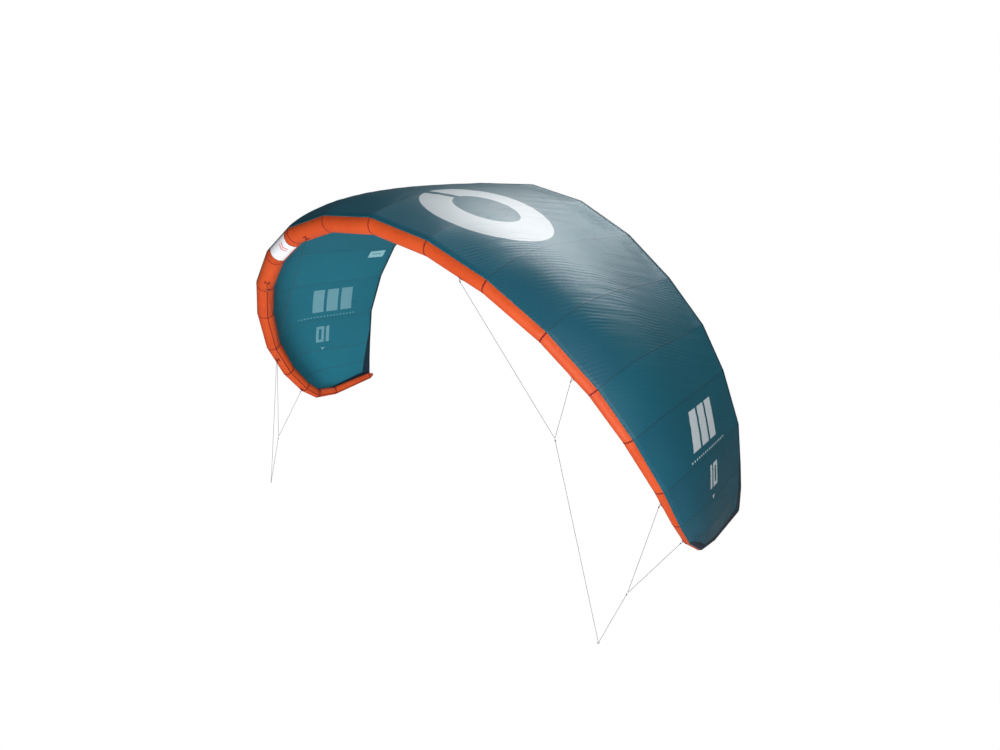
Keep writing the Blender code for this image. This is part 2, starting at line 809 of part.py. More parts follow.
def add_valve_cap(centre, normal, along):
    """Plug: a lid on the neck with a short stem in its bore. It hinges at the rim."""
    under = VALVE_NECK_HEIGHT + JOINT_GAP
    profile = (
        (0.0, under - VALVE_STEM_LENGTH),
        (VALVE_STEM_RADIUS, under - VALVE_STEM_LENGTH),
        (VALVE_STEM_RADIUS, under),
        (VALVE_CAP_RADIUS, under),
        (VALVE_CAP_RADIUS, under + VALVE_CAP_HEIGHT - VALVE_CAP_BEVEL),
        (VALVE_CAP_RADIUS - VALVE_CAP_BEVEL, under + VALVE_CAP_HEIGHT),
        (0.0, under + VALVE_CAP_HEIGHT),
    )
    points, faces = closed_turned_solid(profile, centre, normal, along, VALVE_SIDES)
    hinge = centre + normal * under - along * VALVE_CAP_RADIUS
    cap = add_mesh("valve_cap", points, faces, "valve_orange", -1, hinge)
    face_outwards(cap)
    smooth(cap)


def add_label_band():
    step = 360.0 / TUBE_SIDES
    first = FLAT_DEG - step * 3.5
    corners = [first + step * turn for turn in range(8)]
    inside = [angle for angle in corners if BAND_DEG[0] + 1 < angle < BAND_DEG[1] - 1]
    angles = [BAND_DEG[0], *inside, BAND_DEG[1]]
    points, faces = wrapped_patch(BAND_SEGMENT, BAND_SHARES, angles, BAND_LIFT, BAND_THICKNESS)
    band = add_mesh("label_band", points, faces, "band_white", -1)
    face_outwards(band)
    smooth(band)


def build():
    clear_scene()
    for side, wing in ((1, "right"), (-1, "left")):
        add_tubes(side, wing)
        add_end_cap(side, wing)
        add_canopy(side, wing)
        for number in range(len(TAB_PLACES)):
            add_tab(number, side, wing)
        add_bridle(side, wing)
    bladder = add_bladder()
    valve_tube = bpy.data.objects[f"le_segment_{VALVE_SEGMENT}_left"]
    add_valve(bladder, valve_tube)
    add_label_band()


build()
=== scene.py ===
"""Looks of the kitesurf kite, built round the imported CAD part.

+X is spanwise, +Y runs from the leading edge back to the trailing edge, +Z is up.
The design constants and formulas of the tube, the canopy and the bridle are those of the CAD part.
"""

import json
from math import cos, degrees, exp, pi, radians, sin

import bmesh
import bpy
import numpy as np
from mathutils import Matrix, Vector

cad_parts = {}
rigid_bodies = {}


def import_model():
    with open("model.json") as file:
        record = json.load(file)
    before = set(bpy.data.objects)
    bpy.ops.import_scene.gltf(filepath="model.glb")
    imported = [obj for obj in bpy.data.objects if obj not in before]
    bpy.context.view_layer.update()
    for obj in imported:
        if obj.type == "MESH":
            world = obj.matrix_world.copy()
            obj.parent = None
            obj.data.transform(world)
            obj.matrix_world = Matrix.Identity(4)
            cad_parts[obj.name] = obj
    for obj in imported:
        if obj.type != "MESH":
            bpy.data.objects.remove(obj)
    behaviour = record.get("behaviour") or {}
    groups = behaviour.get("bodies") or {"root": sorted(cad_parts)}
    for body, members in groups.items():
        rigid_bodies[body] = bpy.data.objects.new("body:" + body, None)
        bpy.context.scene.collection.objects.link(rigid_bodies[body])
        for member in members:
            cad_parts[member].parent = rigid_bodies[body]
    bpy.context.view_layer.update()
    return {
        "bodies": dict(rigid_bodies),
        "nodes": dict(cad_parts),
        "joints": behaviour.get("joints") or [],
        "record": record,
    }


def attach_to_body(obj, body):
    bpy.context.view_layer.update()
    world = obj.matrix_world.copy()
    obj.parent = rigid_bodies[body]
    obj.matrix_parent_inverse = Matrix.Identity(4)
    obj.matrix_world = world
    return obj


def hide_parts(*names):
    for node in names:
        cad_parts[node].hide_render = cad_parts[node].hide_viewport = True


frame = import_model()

SCENE = bpy.context.scene
WINGS = ((1, "right"), (-1, "left"))

# ---- the CAD part's design ----

SEGMENT_LENGTHS = (0.578, 0.563, 0.545, 0.498, 0.408, 0.442, 0.346, 0.262, 0.168)
SWEEP_DEG = (2.2, 5.6, 10.6, 13.6, 17.8, 22.3, 29.8, 38.8, 52.5)
ARC_DEG = (7.5, 19.5, 32.0, 43.5, 57.3, 68.5, 84.5, 95.5, 92.5)
TIP_STEPS = ((-0.030, 0.195, -0.016), (-0.060, 0.385, 0.074))
TUBE_RADII = (0.085, 0.084, 0.083, 0.081, 0.078, 0.073, 0.066, 0.058, 0.051, 0.043, 0.035, 0.029)
TRAILING_LENGTHS = (0.538, 0.531, 0.484, 0.452, 0.375, 0.420, 0.326, 0.183)
TRAILING_ARC_DEG = (6.5, 21.4, 33.6, 42.2, 56.5, 66.9, 82.5, 84.5)
TRAILING_Y = 1.670
TRAILING_START_Z = 0.067
CANOPY_STANDOFF = 0.0014
CANOPY_SEAM_DEG = 46.0
CANOPY_LIFT_DEGS = (15.0, 17.0, 24.0, 31.0, 30.0, 24.0, 20.0, 20.0, 20.0)
CANOPY_FRONT_HANDLE = 0.33
CANOPY_REAR_HANDLE = 0.42
CANOPY_REAR_DEG = 7.0
CANOPY_STEPS = 11
CANOPY_STEP_POWER = 1.25
PANEL_COUNT = 8
TIP_COLUMN_STEPS = (3, 3, 5)
TAB_PLACES = ((2, 0.62, 143.0), (4, 0.68, 143.0), (7, 0.39, 125.0), (8, 0.90, 107.0))
ANCHOR_OUT = 0.0150
FRONT = Vector((1.621, 0.190, -1.295))
TIP = Vector((2.096, 0.461, -2.424))
LOOP = Vector((1.993, 0.278, -2.794))
LINE_RADIUS = 0.0015
LINE_END_GAP = 0.0030
KNOT_BEND = 0.012
KNOT_CLEARANCE = 0.0075
LOOP_CLEARANCE = 0.0140
EYE_CLEARANCE = 0.0093
END_CAP_LENGTH = 0.045
END_CAP_RADIUS = 0.012
VALVE_SEGMENT = 4
VALVE_SHARE = 0.925
VALVE_DEG = 161.0
BAND_SEGMENT = 3
BAND_SHARES = (0.145, 0.795)
BAND_DEG = (53.0, 179.0)

# ---- what the cloth, the trims and the finishes add ----

# The rear corner of the canopy, and how far past the last seam its tip edge runs.
REAR_CORNER = (2.200, 1.664, -2.119)
TIP_OVERRUN = 0.026
# Angles at which the tip patch meets the tube, at its front and further back.
TIP_CONTACT_DEG = (20.0, -15.0)
CLOTH_THICKNESS = 0.0011


def seam_centres():
    points = [Vector((0.0, 0.0, 0.0))]
    for length, sweep_deg, arc_deg in zip(SEGMENT_LENGTHS, SWEEP_DEG, ARC_DEG):
        sweep = radians(sweep_deg)
        arc = radians(arc_deg)
        flat = length * cos(sweep)
        step = Vector((flat * cos(arc), length * sin(sweep), -flat * sin(arc)))
        points.append(points[-1] + step)
    for step in TIP_STEPS:
        points.append(points[-1] + Vector(step))
    return points


def trailing_points():
    points = [Vector((0.0, TRAILING_Y, TRAILING_START_Z))]
    for length, arc_deg in zip(TRAILING_LENGTHS, TRAILING_ARC_DEG):
        arc = radians(arc_deg)
        points.append(points[-1] + Vector((length * cos(arc), 0.0, -length * sin(arc))))
    return points


SEAMS = seam_centres()
TRAILING = trailing_points()
LAST_ARC_SEAM = len(ARC_DEG)
LAST_SEAM = len(SEAMS) - 1


def segment_direction(segment):
    return (SEAMS[segment] - SEAMS[segment - 1]).normalized()


def tube_direction(seam):
    if seam == 0:
        return Vector((1.0, 0.0, 0.0))
    if seam == LAST_SEAM:
        return segment_direction(seam)
    return (segment_direction(seam) + segment_direction(seam + 1)).normalized()


def outward_lean(seam):
    if seam == 0:
        return 0.0
    if seam >= LAST_ARC_SEAM:
        return radians(ARC_DEG[-1])
    return radians((ARC_DEG[seam - 1] + ARC_DEG[seam]) / 2)


def seam_frame(seam):
    along = tube_direction(seam)
    lean = outward_lean(seam)
    raw = Vector((sin(lean), 0.0, cos(lean)))
    outward = (raw - along * raw.dot(along)).normalized()
    return outward, along.cross(outward)


FRAMES = [seam_frame(seam) for seam in range(LAST_SEAM + 1)]


def around(seam, radius, angle_deg):
    """Point at a radius from the tube's centre. 0 degrees is outward and 90 is forward."""
    outward, forward = FRAMES[seam]
    angle = radians(angle_deg)
    return SEAMS[seam] + radius * (cos(angle) * outward + sin(angle) * forward)


def skin(segment, share, angle_deg, lift):
    """Point on the round tube, lifted off it."""
    low = around(segment - 1, TUBE_RADII[segment - 1] + lift, angle_deg)
    return low.lerp(around(segment, TUBE_RADII[segment] + lift, angle_deg), share)


def tab_anchor(number):
    return skin(*TAB_PLACES[number], ANCHOR_OUT)


def radius_at(segment, share):
    low = TUBE_RADII[segment - 1]
    return low + (TUBE_RADII[segment] - low) * share


def spread(low, high, count):
    """Numbers from low to high in even steps."""
    return [low + (high - low) * step / count for step in range(count + 1)]


def mirrored(point, side):
    return Vector((side * point.x, point.y, point.z))


def add_object(name, data):
    made = bpy.data.objects.new(name, data)
    SCENE.collection.objects.link(made)
    return made


def attach(item, slot, *nodes, body="kite"):
    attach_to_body(item, body)
    if nodes:
        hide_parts(*nodes)


# ---- camera ----


def add_camera():
    data = bpy.data.cameras.new("studio_camera")
    data.lens = 45.0
    data.sensor_width = 36.0
    data.clip_end = 1000.0
    made = add_object("studio_camera", data)
    made.location = (7.000, -5.788, 1.991)
    aim = Vector((-0.6636, 0.6708, -0.3310))
    made.rotation_euler = aim.to_track_quat("-Z", "Y").to_euler()
    SCENE.camera = made


add_camera()


# ---- cords ----


def straight_run(start, end, count):
    return [start.lerp(end, share) for share in spread(0.0, 1.0, count - 1)]


def fan_route(first_tab, knot, second_tab):
    """Taut line from one tab down to the knot and back up to the next tab."""
    first = tab_anchor(first_tab)
    second = tab_anchor(second_tab)
    down = (knot - first).normalized()
    rise = (second - knot).normalized()
    bend_in = knot - down * KNOT_BEND
    bend_out = knot + rise * KNOT_BEND
    bend = []
    for share in spread(0.0, 1.0, 7)[1:-1]:
        bend.append(bend_in.lerp(knot, share).lerp(knot.lerp(bend_out, share), share))
    start = straight_run(first + down * LINE_END_GAP, bend_in, 10)
    return start + bend + straight_run(bend_out, second - rise * LINE_END_GAP, 10)


def leader_route(knot, loop, loop_clearance):
    down = (loop - knot).normalized()
    return straight_run(knot + down * KNOT_CLEARANCE, loop - down * loop_clearance, 12)


def add_line(name, points, side):
    curve = bpy.data.curves.new(name, "CURVE")
    curve.dimensions = "3D"
    curve.bevel_depth = 1.0
    curve.bevel_resolution = 3
    curve.use_fill_caps = True
    spline = curve.splines.new("POLY")
    spline.points.add(len(points) - 1)
    for place, point in zip(spline.points, points):
        place.co = (*mirrored(point, side), 1.0)
        place.radius = LINE_RADIUS
    return add_object(name, curve)


ROUTES = {
    "front_fan": fan_route(0, FRONT, 1),
    "tip_fan": fan_route(2, TIP, 3),
    "front_leader": leader_route(FRONT, LOOP, LOOP_CLEARANCE),
    "tip_leader": leader_route(TIP, LOOP, EYE_CLEARANCE),
}
LINES = {}
for side, wing in WINGS:
    for part, route in ROUTES.items():
        line = add_line(f"line_{part}_{wing}", route, side)
        attach(line, "bridle_grey", f"bridle_{part}_{wing}", body=f"{part}_{wing}")
        LINES[(part, wing)] = line


# ---- materials ----


class Value:
    """Output of a node. Arithmetic on it adds nodes to the same tree."""

    def __init__(self, made, socket):
        self.made = made
        self.socket = socket

    def __add__(self, other):
        return self.made.maths("ADD", self, other)

    def __sub__(self, other):
        return self.made.maths("SUBTRACT", self, other)

    def __rsub__(self, other):
        return self.made.maths("SUBTRACT", other, self)

    def __mul__(self, other):
        return self.made.maths("MULTIPLY", self, other)

    def __abs__(self):
        return self.made.maths("ABSOLUTE", self)


# The colour sockets of a mix node.
MIX_LOW, MIX_HIGH, MIX_RESULT = 6, 7, 2


class Finish:
    """Short calls that build one material's node tree."""

    def __init__(self, name):
        self.material = bpy.data.materials.new(name)
        self.material.use_nodes = True
        self.tree = self.material.node_tree
        self.shader = self.tree.nodes["Principled BSDF"]

    def feed(self, socket, value):
        if isinstance(value, Value):
            self.tree.links.new(value.socket, socket)
        else:
            socket.default_value = value

    def node(self, kind, inputs, output=0, **settings):
        """Output of a new node, with its settings and what its inputs take."""
        made = self.tree.nodes.new(kind)
        for key, value in settings.items():
            setattr(made, key, value)
        for key, value in inputs.items():
            self.feed(made.inputs[key], value)
        return Value(self, made.outputs[output])

    def maths(self, operation, *values):
        return self.node("ShaderNodeMath", dict(enumerate(values)), operation=operation)

    def largest(self, found, *others):
        for value in others:
            found = self.maths("MAXIMUM", found, value)
        return found

    def sine(self, value):
        return self.maths("SINE", value)

    def step(self, value, low, high):
        """0 below the low value and 1 above the high value."""
        return self.node("ShaderNodeMapRange", {0: value, 1: low, 2: high})

    def inside(self, value, low, high, soft):
        """1 between two values, with soft edges."""
        return self.step(value, low - soft, low + soft) * self.step(value, high + soft, high - soft)

    def attribute(self, name):
        return self.node("ShaderNodeAttribute", {}, "Fac", attribute_name=name)

    def place(self):
        return self.node("ShaderNodeTexCoord", {}, "Object")

    def vector(self, x, y):
        return self.node("ShaderNodeCombineXYZ", {0: x, 1: y})

    def noise(self, scale, detail, where=None):
        inputs = {"Vector": where or self.place(), "Scale": scale, "Detail": detail}
        return self.node("ShaderNodeTexNoise", inputs, "Fac")

    def mottle(self, scale, detail):
        """Noise with more contrast."""
        return self.step(self.noise(scale, detail), 0.3, 0.7)

    def mix(self, share, low, high):
        low, high = (value if isinstance(value, Value) else (*value, 1.0) for value in (low, high))
        inputs = {"Factor": share, MIX_LOW: low, MIX_HIGH: high}
        return self.node("ShaderNodeMix", inputs, MIX_RESULT, data_type="RGBA")

    def bump(self, height, distance, strength):
        return self.node("ShaderNodeBump", {"Distance": distance, "Strength": strength, "Height": height})

    def weave(self, across, along, pitch):
        """Height of a plain weave with the given thread pitch in metres."""
        turns = 2 * pi / pitch
        return self.sine(across * turns) * self.sine(along * turns)

    def finish(self, colour, roughness, normal=None, shine=0.5):
        inputs = self.shader.inputs
        self.feed(inputs["Base Color"], colour)
        self.feed(inputs["Roughness"], roughness)
        inputs["Specular IOR Level"].default_value = shine
        if normal:
            self.feed(inputs["Normal"], normal)
        return self.material


# Linear colours.
TEAL_OUT = (0.001, 0.104, 0.152)
# Painted light: the outside cloth is painted a brighter, more saturated teal towards the tube.
TEAL_EDGE_PAINTED_LIGHT = (0.001, 0.114, 0.178)
# Painted light: the inside is a lighter teal that stands in for light coming through the cloth.
TEAL_IN_PAINTED_THROUGH_LIGHT = (0.003, 0.150, 0.215)
TEAL_SEAM = (0.003, 0.048, 0.070)
NAVY = (0.010, 0.026, 0.045)
PRINT_LIGHT = (0.60, 0.67, 0.70)
# The marks are real print; their look on the inside is painted light coming through the cloth past the print.
PRINT_PAINTED_THROUGH_LIGHT = (0.42, 0.72, 0.78)
ORANGE = (0.63, 0.088, 0.018)
ORANGE_DEEP = (0.52, 0.058, 0.011)
DARK_RED = (0.16, 0.012, 0.010)
SCUFF = (0.80, 0.40, 0.25)
TAG_LIGHT = (0.30, 0.58, 0.64)

# The zigzag stitching's half width and the ribs' spacing on a tape.
ZIGZAG = 0.003
TAPE_RIB = 0.0014


# The printed marks are generic. The ring's two ovals, in flat distances:
# centre across, centre back, radius and stretch.
RING_OUTER = (0.53, 0.67, 0.57, 0.71)
RING_INNER = (0.52, 0.68, 0.29, 0.69)


def disc(made, x, y, oval):
    """1 inside a printed oval, and the distances across and back from its centre."""
    centre_x, centre_y, radius, stretch = oval
    across = x - centre_x
    back = y - centre_y
    longer = back * (1.0 / stretch)
    distance = made.maths("SQRT", across * across + longer * longer)
    return made.step(distance, radius + 0.004, radius - 0.004), across, back


def middle_print(made, x, y):
    """Light ring with a slanted gap."""
    outer, _, _ = disc(made, x, y, RING_OUTER)
    inner, across, back = disc(made, x, y, RING_INNER)
    gap = made.inside(back - across * 0.25, 0.025, 0.090, 0.004) * made.step(across, 0.0, -0.01)
    return outer * (1.0 - made.largest(inner, gap))


# Frames of the tip marks in flat distances: distance out, distance back, skew, slant and mirror shift.
BARS = (2.74, 0.80, 0.45, 0.20, 0.05)
NUMERAL = (3.18, 0.600, 0.60, 0.08, 0.045)
BAR_STARTS = (-0.200, -0.058, 0.084)
BAR_WIDTH = 0.112
BAR_LENGTH = 0.27
# The tag's distance out on the left wing, and back.
TAG = (2.26, 1.245)
RIPSTOP_PITCH = 0.004
# Turns of the fine folds for each metre out and each metre back.
FOLD_TURNS = (28.5, -13.6)


def mark_frame(made, x, y, frame):
    """Distances down and along a printed mark that reads from outside on both wings."""
    out, back, skew, slant, shift = frame
    side = made.maths("SIGN", x)
    down = abs(x) - out
    across = y - back + down * skew + side * shift
    return down, across * side + down * slant


def tip_print(made, x, y):
    """Three slanted bars, a dashed line, the size numeral and a small mark below it."""
    down, along = mark_frame(made, x, y, BARS)
    bars = [
        made.inside(along, start, start + BAR_WIDTH, 0.003) * made.inside(down, 0.0, BAR_LENGTH, 0.003)
        for start in BAR_STARTS
    ]
    dashes = made.step(made.sine(along * 190.0), 0.0, 0.4)
    row = made.inside(down, 0.318, 0.330, 0.002) * made.inside(along, -0.24, 0.34, 0.004)
    down, along = mark_frame(made, x, y, NUMERAL)
    one = made.inside(along, -0.062, -0.030, 0.003) * made.inside(down, 0.0, 0.170, 0.003)
    zero_x = abs(along - 0.030)
    zero_y = abs(down - 0.085)
    outer = made.step(zero_x, 0.042, 0.038) * made.step(zero_y, 0.087, 0.083)
    inner = made.step(zero_x, 0.015, 0.012) * made.step(zero_y, 0.060, 0.056)
    taper = abs(along) + (down - 0.23) * 0.7
    drop = made.step(taper, 0.024, 0.021) * made.step(down, 0.229, 0.232)
    return made.largest(*bars, dashes * row, one, outer * (1.0 - inner), drop)


def tag_print(made, x, y):
    """Small light label near the left trailing edge."""
    down = x * -1.0 - TAG[0]
    along = y - TAG[1] + down * 0.3
    plate = made.inside(down, 0.0, 0.094, 0.002) * made.inside(along, 0.0, 0.150, 0.002)
    line = made.inside(down, 0.040, 0.054, 0.002) * made.inside(along, 0.03, 0.12, 0.002)
    return plate * (1.0 - line * 0.7)


def canopy_finish(name, base, edge, marks_strength, inner):
    """Coated ripstop cloth with its seams, hems, reinforcements and printed marks. Painted light: a brighter
    teal towards the tube outside, and light coming through the cloth inside.
    """
    made = Finish(name)
    x, y, gap, rear, tip, panel = (
        made.attribute(kind) for kind in ("flat_x", "flat_y", "seam_gap", "to_rear", "to_tip", "panel")
    )
    colour = made.mix(made.mottle(1.6, 3.0), base, tuple(c * 1.10 for c in base))
    # Painted light: a brighter, more saturated teal towards the tube, on the outside only.
    colour = made.mix(made.step(y, 0.42, 0.06), colour, edge)
    panel_only = {"W": made.maths("FLOOR", panel)}
    shade = made.node("ShaderNodeTexWhiteNoise", panel_only, "Value", noise_dimensions="1D")
    colour = made.mix(made.step(shade, -1.0, 9.0), colour, NAVY)
    grid = [made.maths("PINGPONG", distance, RIPSTOP_PITCH) for distance in (x, y)]
    rip = made.step(made.maths("MINIMUM", *grid), 0.0008, 0.0002)
    colour = made.mix(rip * 0.06, colour, PRINT_LIGHT)
    if inner:
        colour = made.mix(tag_print(made, x, y), colour, TAG_LIGHT)
    seam = made.step(gap, 0.0070, 0.0045)
    colour = made.mix(seam * (0.32 if inner else 0.50), colour, TEAL_SEAM)
    stitch = made.inside(gap, 0.0030, 0.0042, 0.0003) * made.step(made.sine(y * 2200.0), -0.2, 0.2)
    colour = made.mix(stitch * 0.12, colour, PRINT_LIGHT)
    # Printed marks; on the inside they are weaker and teal-tinted, painted as light coming through the cloth.
    marks = made.largest(middle_print(made, x, y), tip_print(made, x, y)) * marks_strength
    colour = made.mix(marks, colour, PRINT_PAINTED_THROUGH_LIGHT if inner else PRINT_LIGHT)
    hem = made.step(rear, 0.018, 0.015)
    corner = made.step(rear + tip * 0.16, 0.100, 0.093) * made.step(tip, 0.50, 0.48)
    widen = made.step(rear, 0.75, 0.0) * 0.035
    patch = made.largest(corner, made.step(tip - widen, 0.050, 0.046))
    if not inner:
        fingers = made.inside(rear, 0.55, 0.85, 0.01) * made.step(tip, 0.185, 0.175)
        patch = made.largest(patch, made.step(made.sine(rear * 150.0), 0.80, 0.92) * fingers)
    colour = made.mix(patch, colour, NAVY)
    colour = made.mix(hem * 0.8, colour, NAVY)
    flat = made.vector(x, y)
    turn = abs(x) * FOLD_TURNS[0] + y * FOLD_TURNS[1] + made.noise(2.5, 2.0, flat) * 3.0
    patchy = made.step(made.noise(3.0, 2.0, made.vector(y, x)), 0.35, 0.65)
    height = made.sine(turn * (2 * pi)) * patchy * 0.30 + made.noise(42.0, 3.0, flat) * 0.05
    height = height + made.largest(seam, hem, patch) * 0.3 + rip * 0.04
    rough = made.noise(9.0, 4.0) * 0.08 + 0.40
    return made.finish(colour, rough, made.bump(height, 0.0016, 0.9), 0.25 if inner else 0.45)


def tube_finish():
    """Coated woven polyester, slightly mottled."""
    made = Finish("tube_orange_cloth")
    cloudy = made.step(made.noise(3.0, 4.0), 0.25, 0.75)
    colour = made.mix(cloudy, ORANGE_DEEP, ORANGE)
    threads = made.weave(made.attribute("tube_x"), made.attribute("tube_y"), 0.0016)
    colour = made.mix(made.step(threads, 0.0, 1.0) * 0.10, colour, DARK_RED)
    scuff = made.step(made.noise(26.0, 6.0), 0.66, 0.76)
    colour = made.mix(scuff * 0.12, colour, SCUFF)
    height = threads * 0.10 + made.noise(11.0, 3.0)
    rough = made.noise(14.0, 3.0) * 0.16 + 0.38
    return made.finish(colour, rough, made.bump(height, 0.0012, 0.5), 0.2)


def tape_finish(name, base, thread):
    """Woven tape with zigzag stitching along it."""
    made = Finish(name)
    along = made.attribute("tape_along")
    zigzag = made.maths("PINGPONG", along, ZIGZAG) * 2.0 - ZIGZAG
    stitch = made.step(abs(made.attribute("tape_across") - zigzag), 0.0009, 0.0005)
    colour = made.mix(made.mottle(30.0, 3.0), base, tuple(c * 1.5 for c in base))
    colour = made.mix(stitch * 0.55, colour, thread)
    height = made.sine(along * (2 * pi / TAPE_RIB)) * 0.2 + stitch
    return made.finish(colour, 0.72, made.bump(height, 0.0006, 0.8), 0.2)


def band_finish():
    """White sail cloth with two plain red chevrons."""
    made = Finish("band_white_cloth")
    u = made.attribute("tape_along")
    v = made.attribute("tape_across")
    lean = u + abs(v) * 0.55
    strokes = made.largest(*(made.inside(lean, low, low + 0.015, 0.001) for low in (0.175, 0.215)))
    colour = made.mix(made.mottle(6.0, 3.0), (0.74, 0.76, 0.80), (0.86, 0.87, 0.90))
    colour = made.mix(strokes * made.step(abs(v), 0.042, 0.040), colour, (0.62, 0.045, 0.035))
    height = made.weave(u, v, 0.0015) * 0.12 + made.noise(18.0, 3.0)
    return made.finish(colour, 0.5, made.bump(height, 0.0008, 0.5), 0.2)


def cord_finish():
    """Braided line."""
    made = Finish("bridle_braid")
    x, z = (made.node("ShaderNodeSeparateXYZ", {0: made.place()}, axis) for axis in ("X", "Z"))
    braid = made.sine((z + x) * 1700.0)
    colour = made.mix(made.mottle(60.0, 3.0), (0.035, 0.035, 0.04), (0.06, 0.06, 0.065))
    colour = made.mix(made.step(braid, 0.2, 0.9) * 0.4, colour, (0.02, 0.02, 0.022))
    return made.finish(colour, 0.7, made.bump(braid, 0.0003, 0.6), 0.2)


def plastic_finish(name, base):
    made = Finish(name)
    colour = made.mix(made.mottle(40.0, 4.0), base, tuple(c * 0.8 for c in base))
    return made.finish(colour, 0.36, made.bump(made.noise(900.0, 2.0), 0.0002, 0.4))


def film_finish():
    made = Finish("bladder_film")
    colour = made.mix(made.noise(5.0, 3.0), (0.66, 0.68, 0.67), (0.78, 0.79, 0.77))
    return made.finish(colour, 0.28, made.bump(made.noise(20.0, 4.0), 0.002, 0.5))


CANOPY_OUTSIDE = canopy_finish("canopy_teal_outside", TEAL_OUT, TEAL_EDGE_PAINTED_LIGHT, 0.95, False)
# The inside finish is a lighter copy of the outside, painted with light coming through the cloth.
CANOPY_INSIDE = canopy_finish("canopy_teal_inside", TEAL_IN_PAINTED_THROUGH_LIGHT, TEAL_IN_PAINTED_THROUGH_LIGHT, 0.30, True)
TUBE_CLOTH = tube_finish()
SEAM_TAPE = tape_finish("seam_tape_red", DARK_RED, (0.40, 0.05, 0.03))
WEBBING = tape_finish("webbing_dark_red", (0.17, 0.012, 0.010), (0.34, 0.04, 0.03))
EDGE_TAPE = tape_finish("edge_tape_teal", (0.003, 0.072, 0.100), (0.008, 0.095, 0.130))
BAND_CLOTH = band_finish()
BRAID = cord_finish()
VALVE_PLASTIC = plastic_finish("valve_orange_plastic", (0.46, 0.060, 0.018))
VALVE_SEAL = plastic_finish("valve_dark_seal", (0.030, 0.028, 0.030))
FILM = film_finish()
for line in LINES.values():
    line.data.materials.append(BRAID)


# ---- meshes ----


def flipped(faces):
    return [tuple(reversed(face)) for face in faces]


def add_mesh(name, points, faces, material, side=1):
    mesh = bpy.data.meshes.new(name)
    placed = [(side * x, y, z) for x, y, z in points]
    mesh.from_pydata(placed, [], faces if side > 0 else flipped(faces))
    mesh.materials.append(material)
    mesh.shade_smooth()
    return add_object(name, mesh)


def set_attributes(item, **layers):
    for name, values in layers.items():
        layer = item.data.attributes.new(name, "FLOAT", "POINT")
        layer.data.foreach_set("value", np.asarray(values, np.float32).ravel())


def thicken(item, thickness, offset=1.0):
    change = item.modifiers.new("cloth", "SOLIDIFY")
    change.thickness = thickness
    change.offset = offset
    return change


def clean(item, gap, upward=False):
    """Merges points closer than the gap and turns the faces outward, or upward on an open sheet."""
    mesh = bmesh.new()
    mesh.from_mesh(item.data)
    bmesh.ops.remove_doubles(mesh, verts=mesh.verts, dist=gap)
    bmesh.ops.recalc_face_normals(mesh, faces=mesh.faces)
    top = max(mesh.faces, key=lambda face: face.calc_center_median().z)
    if upward and top.normal.z < 0:
        bmesh.ops.reverse_faces(mesh, faces=mesh.faces)
    mesh.to_mesh(item.data)
    mesh.free()


def grid_faces(rows, columns, first=0, wrap=False, closed=False):
    """Quads of a grid of points. wrap joins each row's ends, and closed joins the last row to the first."""
    faces = []
    for row in range(rows if closed else rows - 1):
        low = first + row * columns
        high = first + (row + 1) % rows * columns
        for column in range(columns if wrap else columns - 1):
            turn = (column + 1) % columns
            faces.append((low + column, high + column, high + turn, low + turn))
    return faces


def end_faces(count, sides):
    """Flat ends for a tube of rings."""
    last = (count - 1) * sides
    return [tuple(range(sides)), tuple(range(last + sides - 1, last - 1, -1))]


# ---- tube ----

RING_SIDES = 72
RING_ANGLES = spread(0.0, 360.0, RING_SIDES)
PUCKER_COUNT = 22
PUCKER_REACH = 0.020
SEAM_PINCH = 0.0016
END_CAP_ROWS = 14


def seam_drop(distance, angle_deg):
    """How far the tube is drawn in near a seam: a pinch with small puckers."""
    near = exp(-((distance / PUCKER_REACH) ** 2))
    ripple = 0.5 + 0.5 * sin(radians(angle_deg) * PUCKER_COUNT)
    return near * SEAM_PINCH * (0.45 + 0.55 * ripple)


def segment_length(segment):
    return (SEAMS[segment] - SEAMS[segment - 1]).length


def tube_point(segment, share, angle_deg, lift=0.0):
    """Point on the inflated skin with its seam puckers."""
    length = segment_length(segment)
    distance = min(share, 1.0 - share) * length
    return skin(segment, share, angle_deg, lift - seam_drop(distance, angle_deg))


def ring_shares(length):
    """Shares of a segment's length, closer together near its seams."""
    near = [0.0, 0.004, 0.009, 0.015, 0.023, 0.034]
    count = max(3, round((length - 0.11) / 0.05))
    places = near + spread(0.055, length - 0.055, count) + [length - place for place in reversed(near)]
    return [place / length for place in places]


def add_segment(segment, side, wing):
    length = segment_length(segment)
    shares = ring_shares(length)
    points, along, round_it = [], [], []
    for share in shares:
        for angle in RING_ANGLES[:-1]:
            points.append(tube_point(segment, share, angle))
            along.append(share * length)
            round_it.append(radians(abs(180.0 - angle)) * radius_at(segment, share))
    faces = flipped(grid_faces(len(shares), RING_SIDES, wrap=True))
    made = add_mesh(f"tube_cloth_{segment}_{wing}", points, faces, TUBE_CLOTH, side)
    set_attributes(made, tube_x=along, tube_y=round_it)
    thicken(made, 0.0006, -1.0)
    return made


def add_tubes(side, wing):
    for segment in range(1, LAST_ARC_SEAM + 1):
        attach(add_segment(segment, side, wing), "tube_orange", f"le_segment_{segment}_{wing}")
    attach(add_segment(LAST_ARC_SEAM + 1, side, wing), "tube_orange", f"le_tip_tube_{wing}")
    attach(add_segment(LAST_SEAM, side, wing), "tube_orange")


def cap_point(distance, angle_deg, lift=0.0, radius=None):
    """Point round the folded end, at a distance past the last seam."""
    if radius is None:
        wide = TUBE_RADII[LAST_SEAM]
        radius = wide + (END_CAP_RADIUS - wide) * min(1.0, distance / END_CAP_LENGTH) ** 1.35
    return around(LAST_SEAM, radius + lift, angle_deg) + tube_direction(LAST_SEAM) * distance


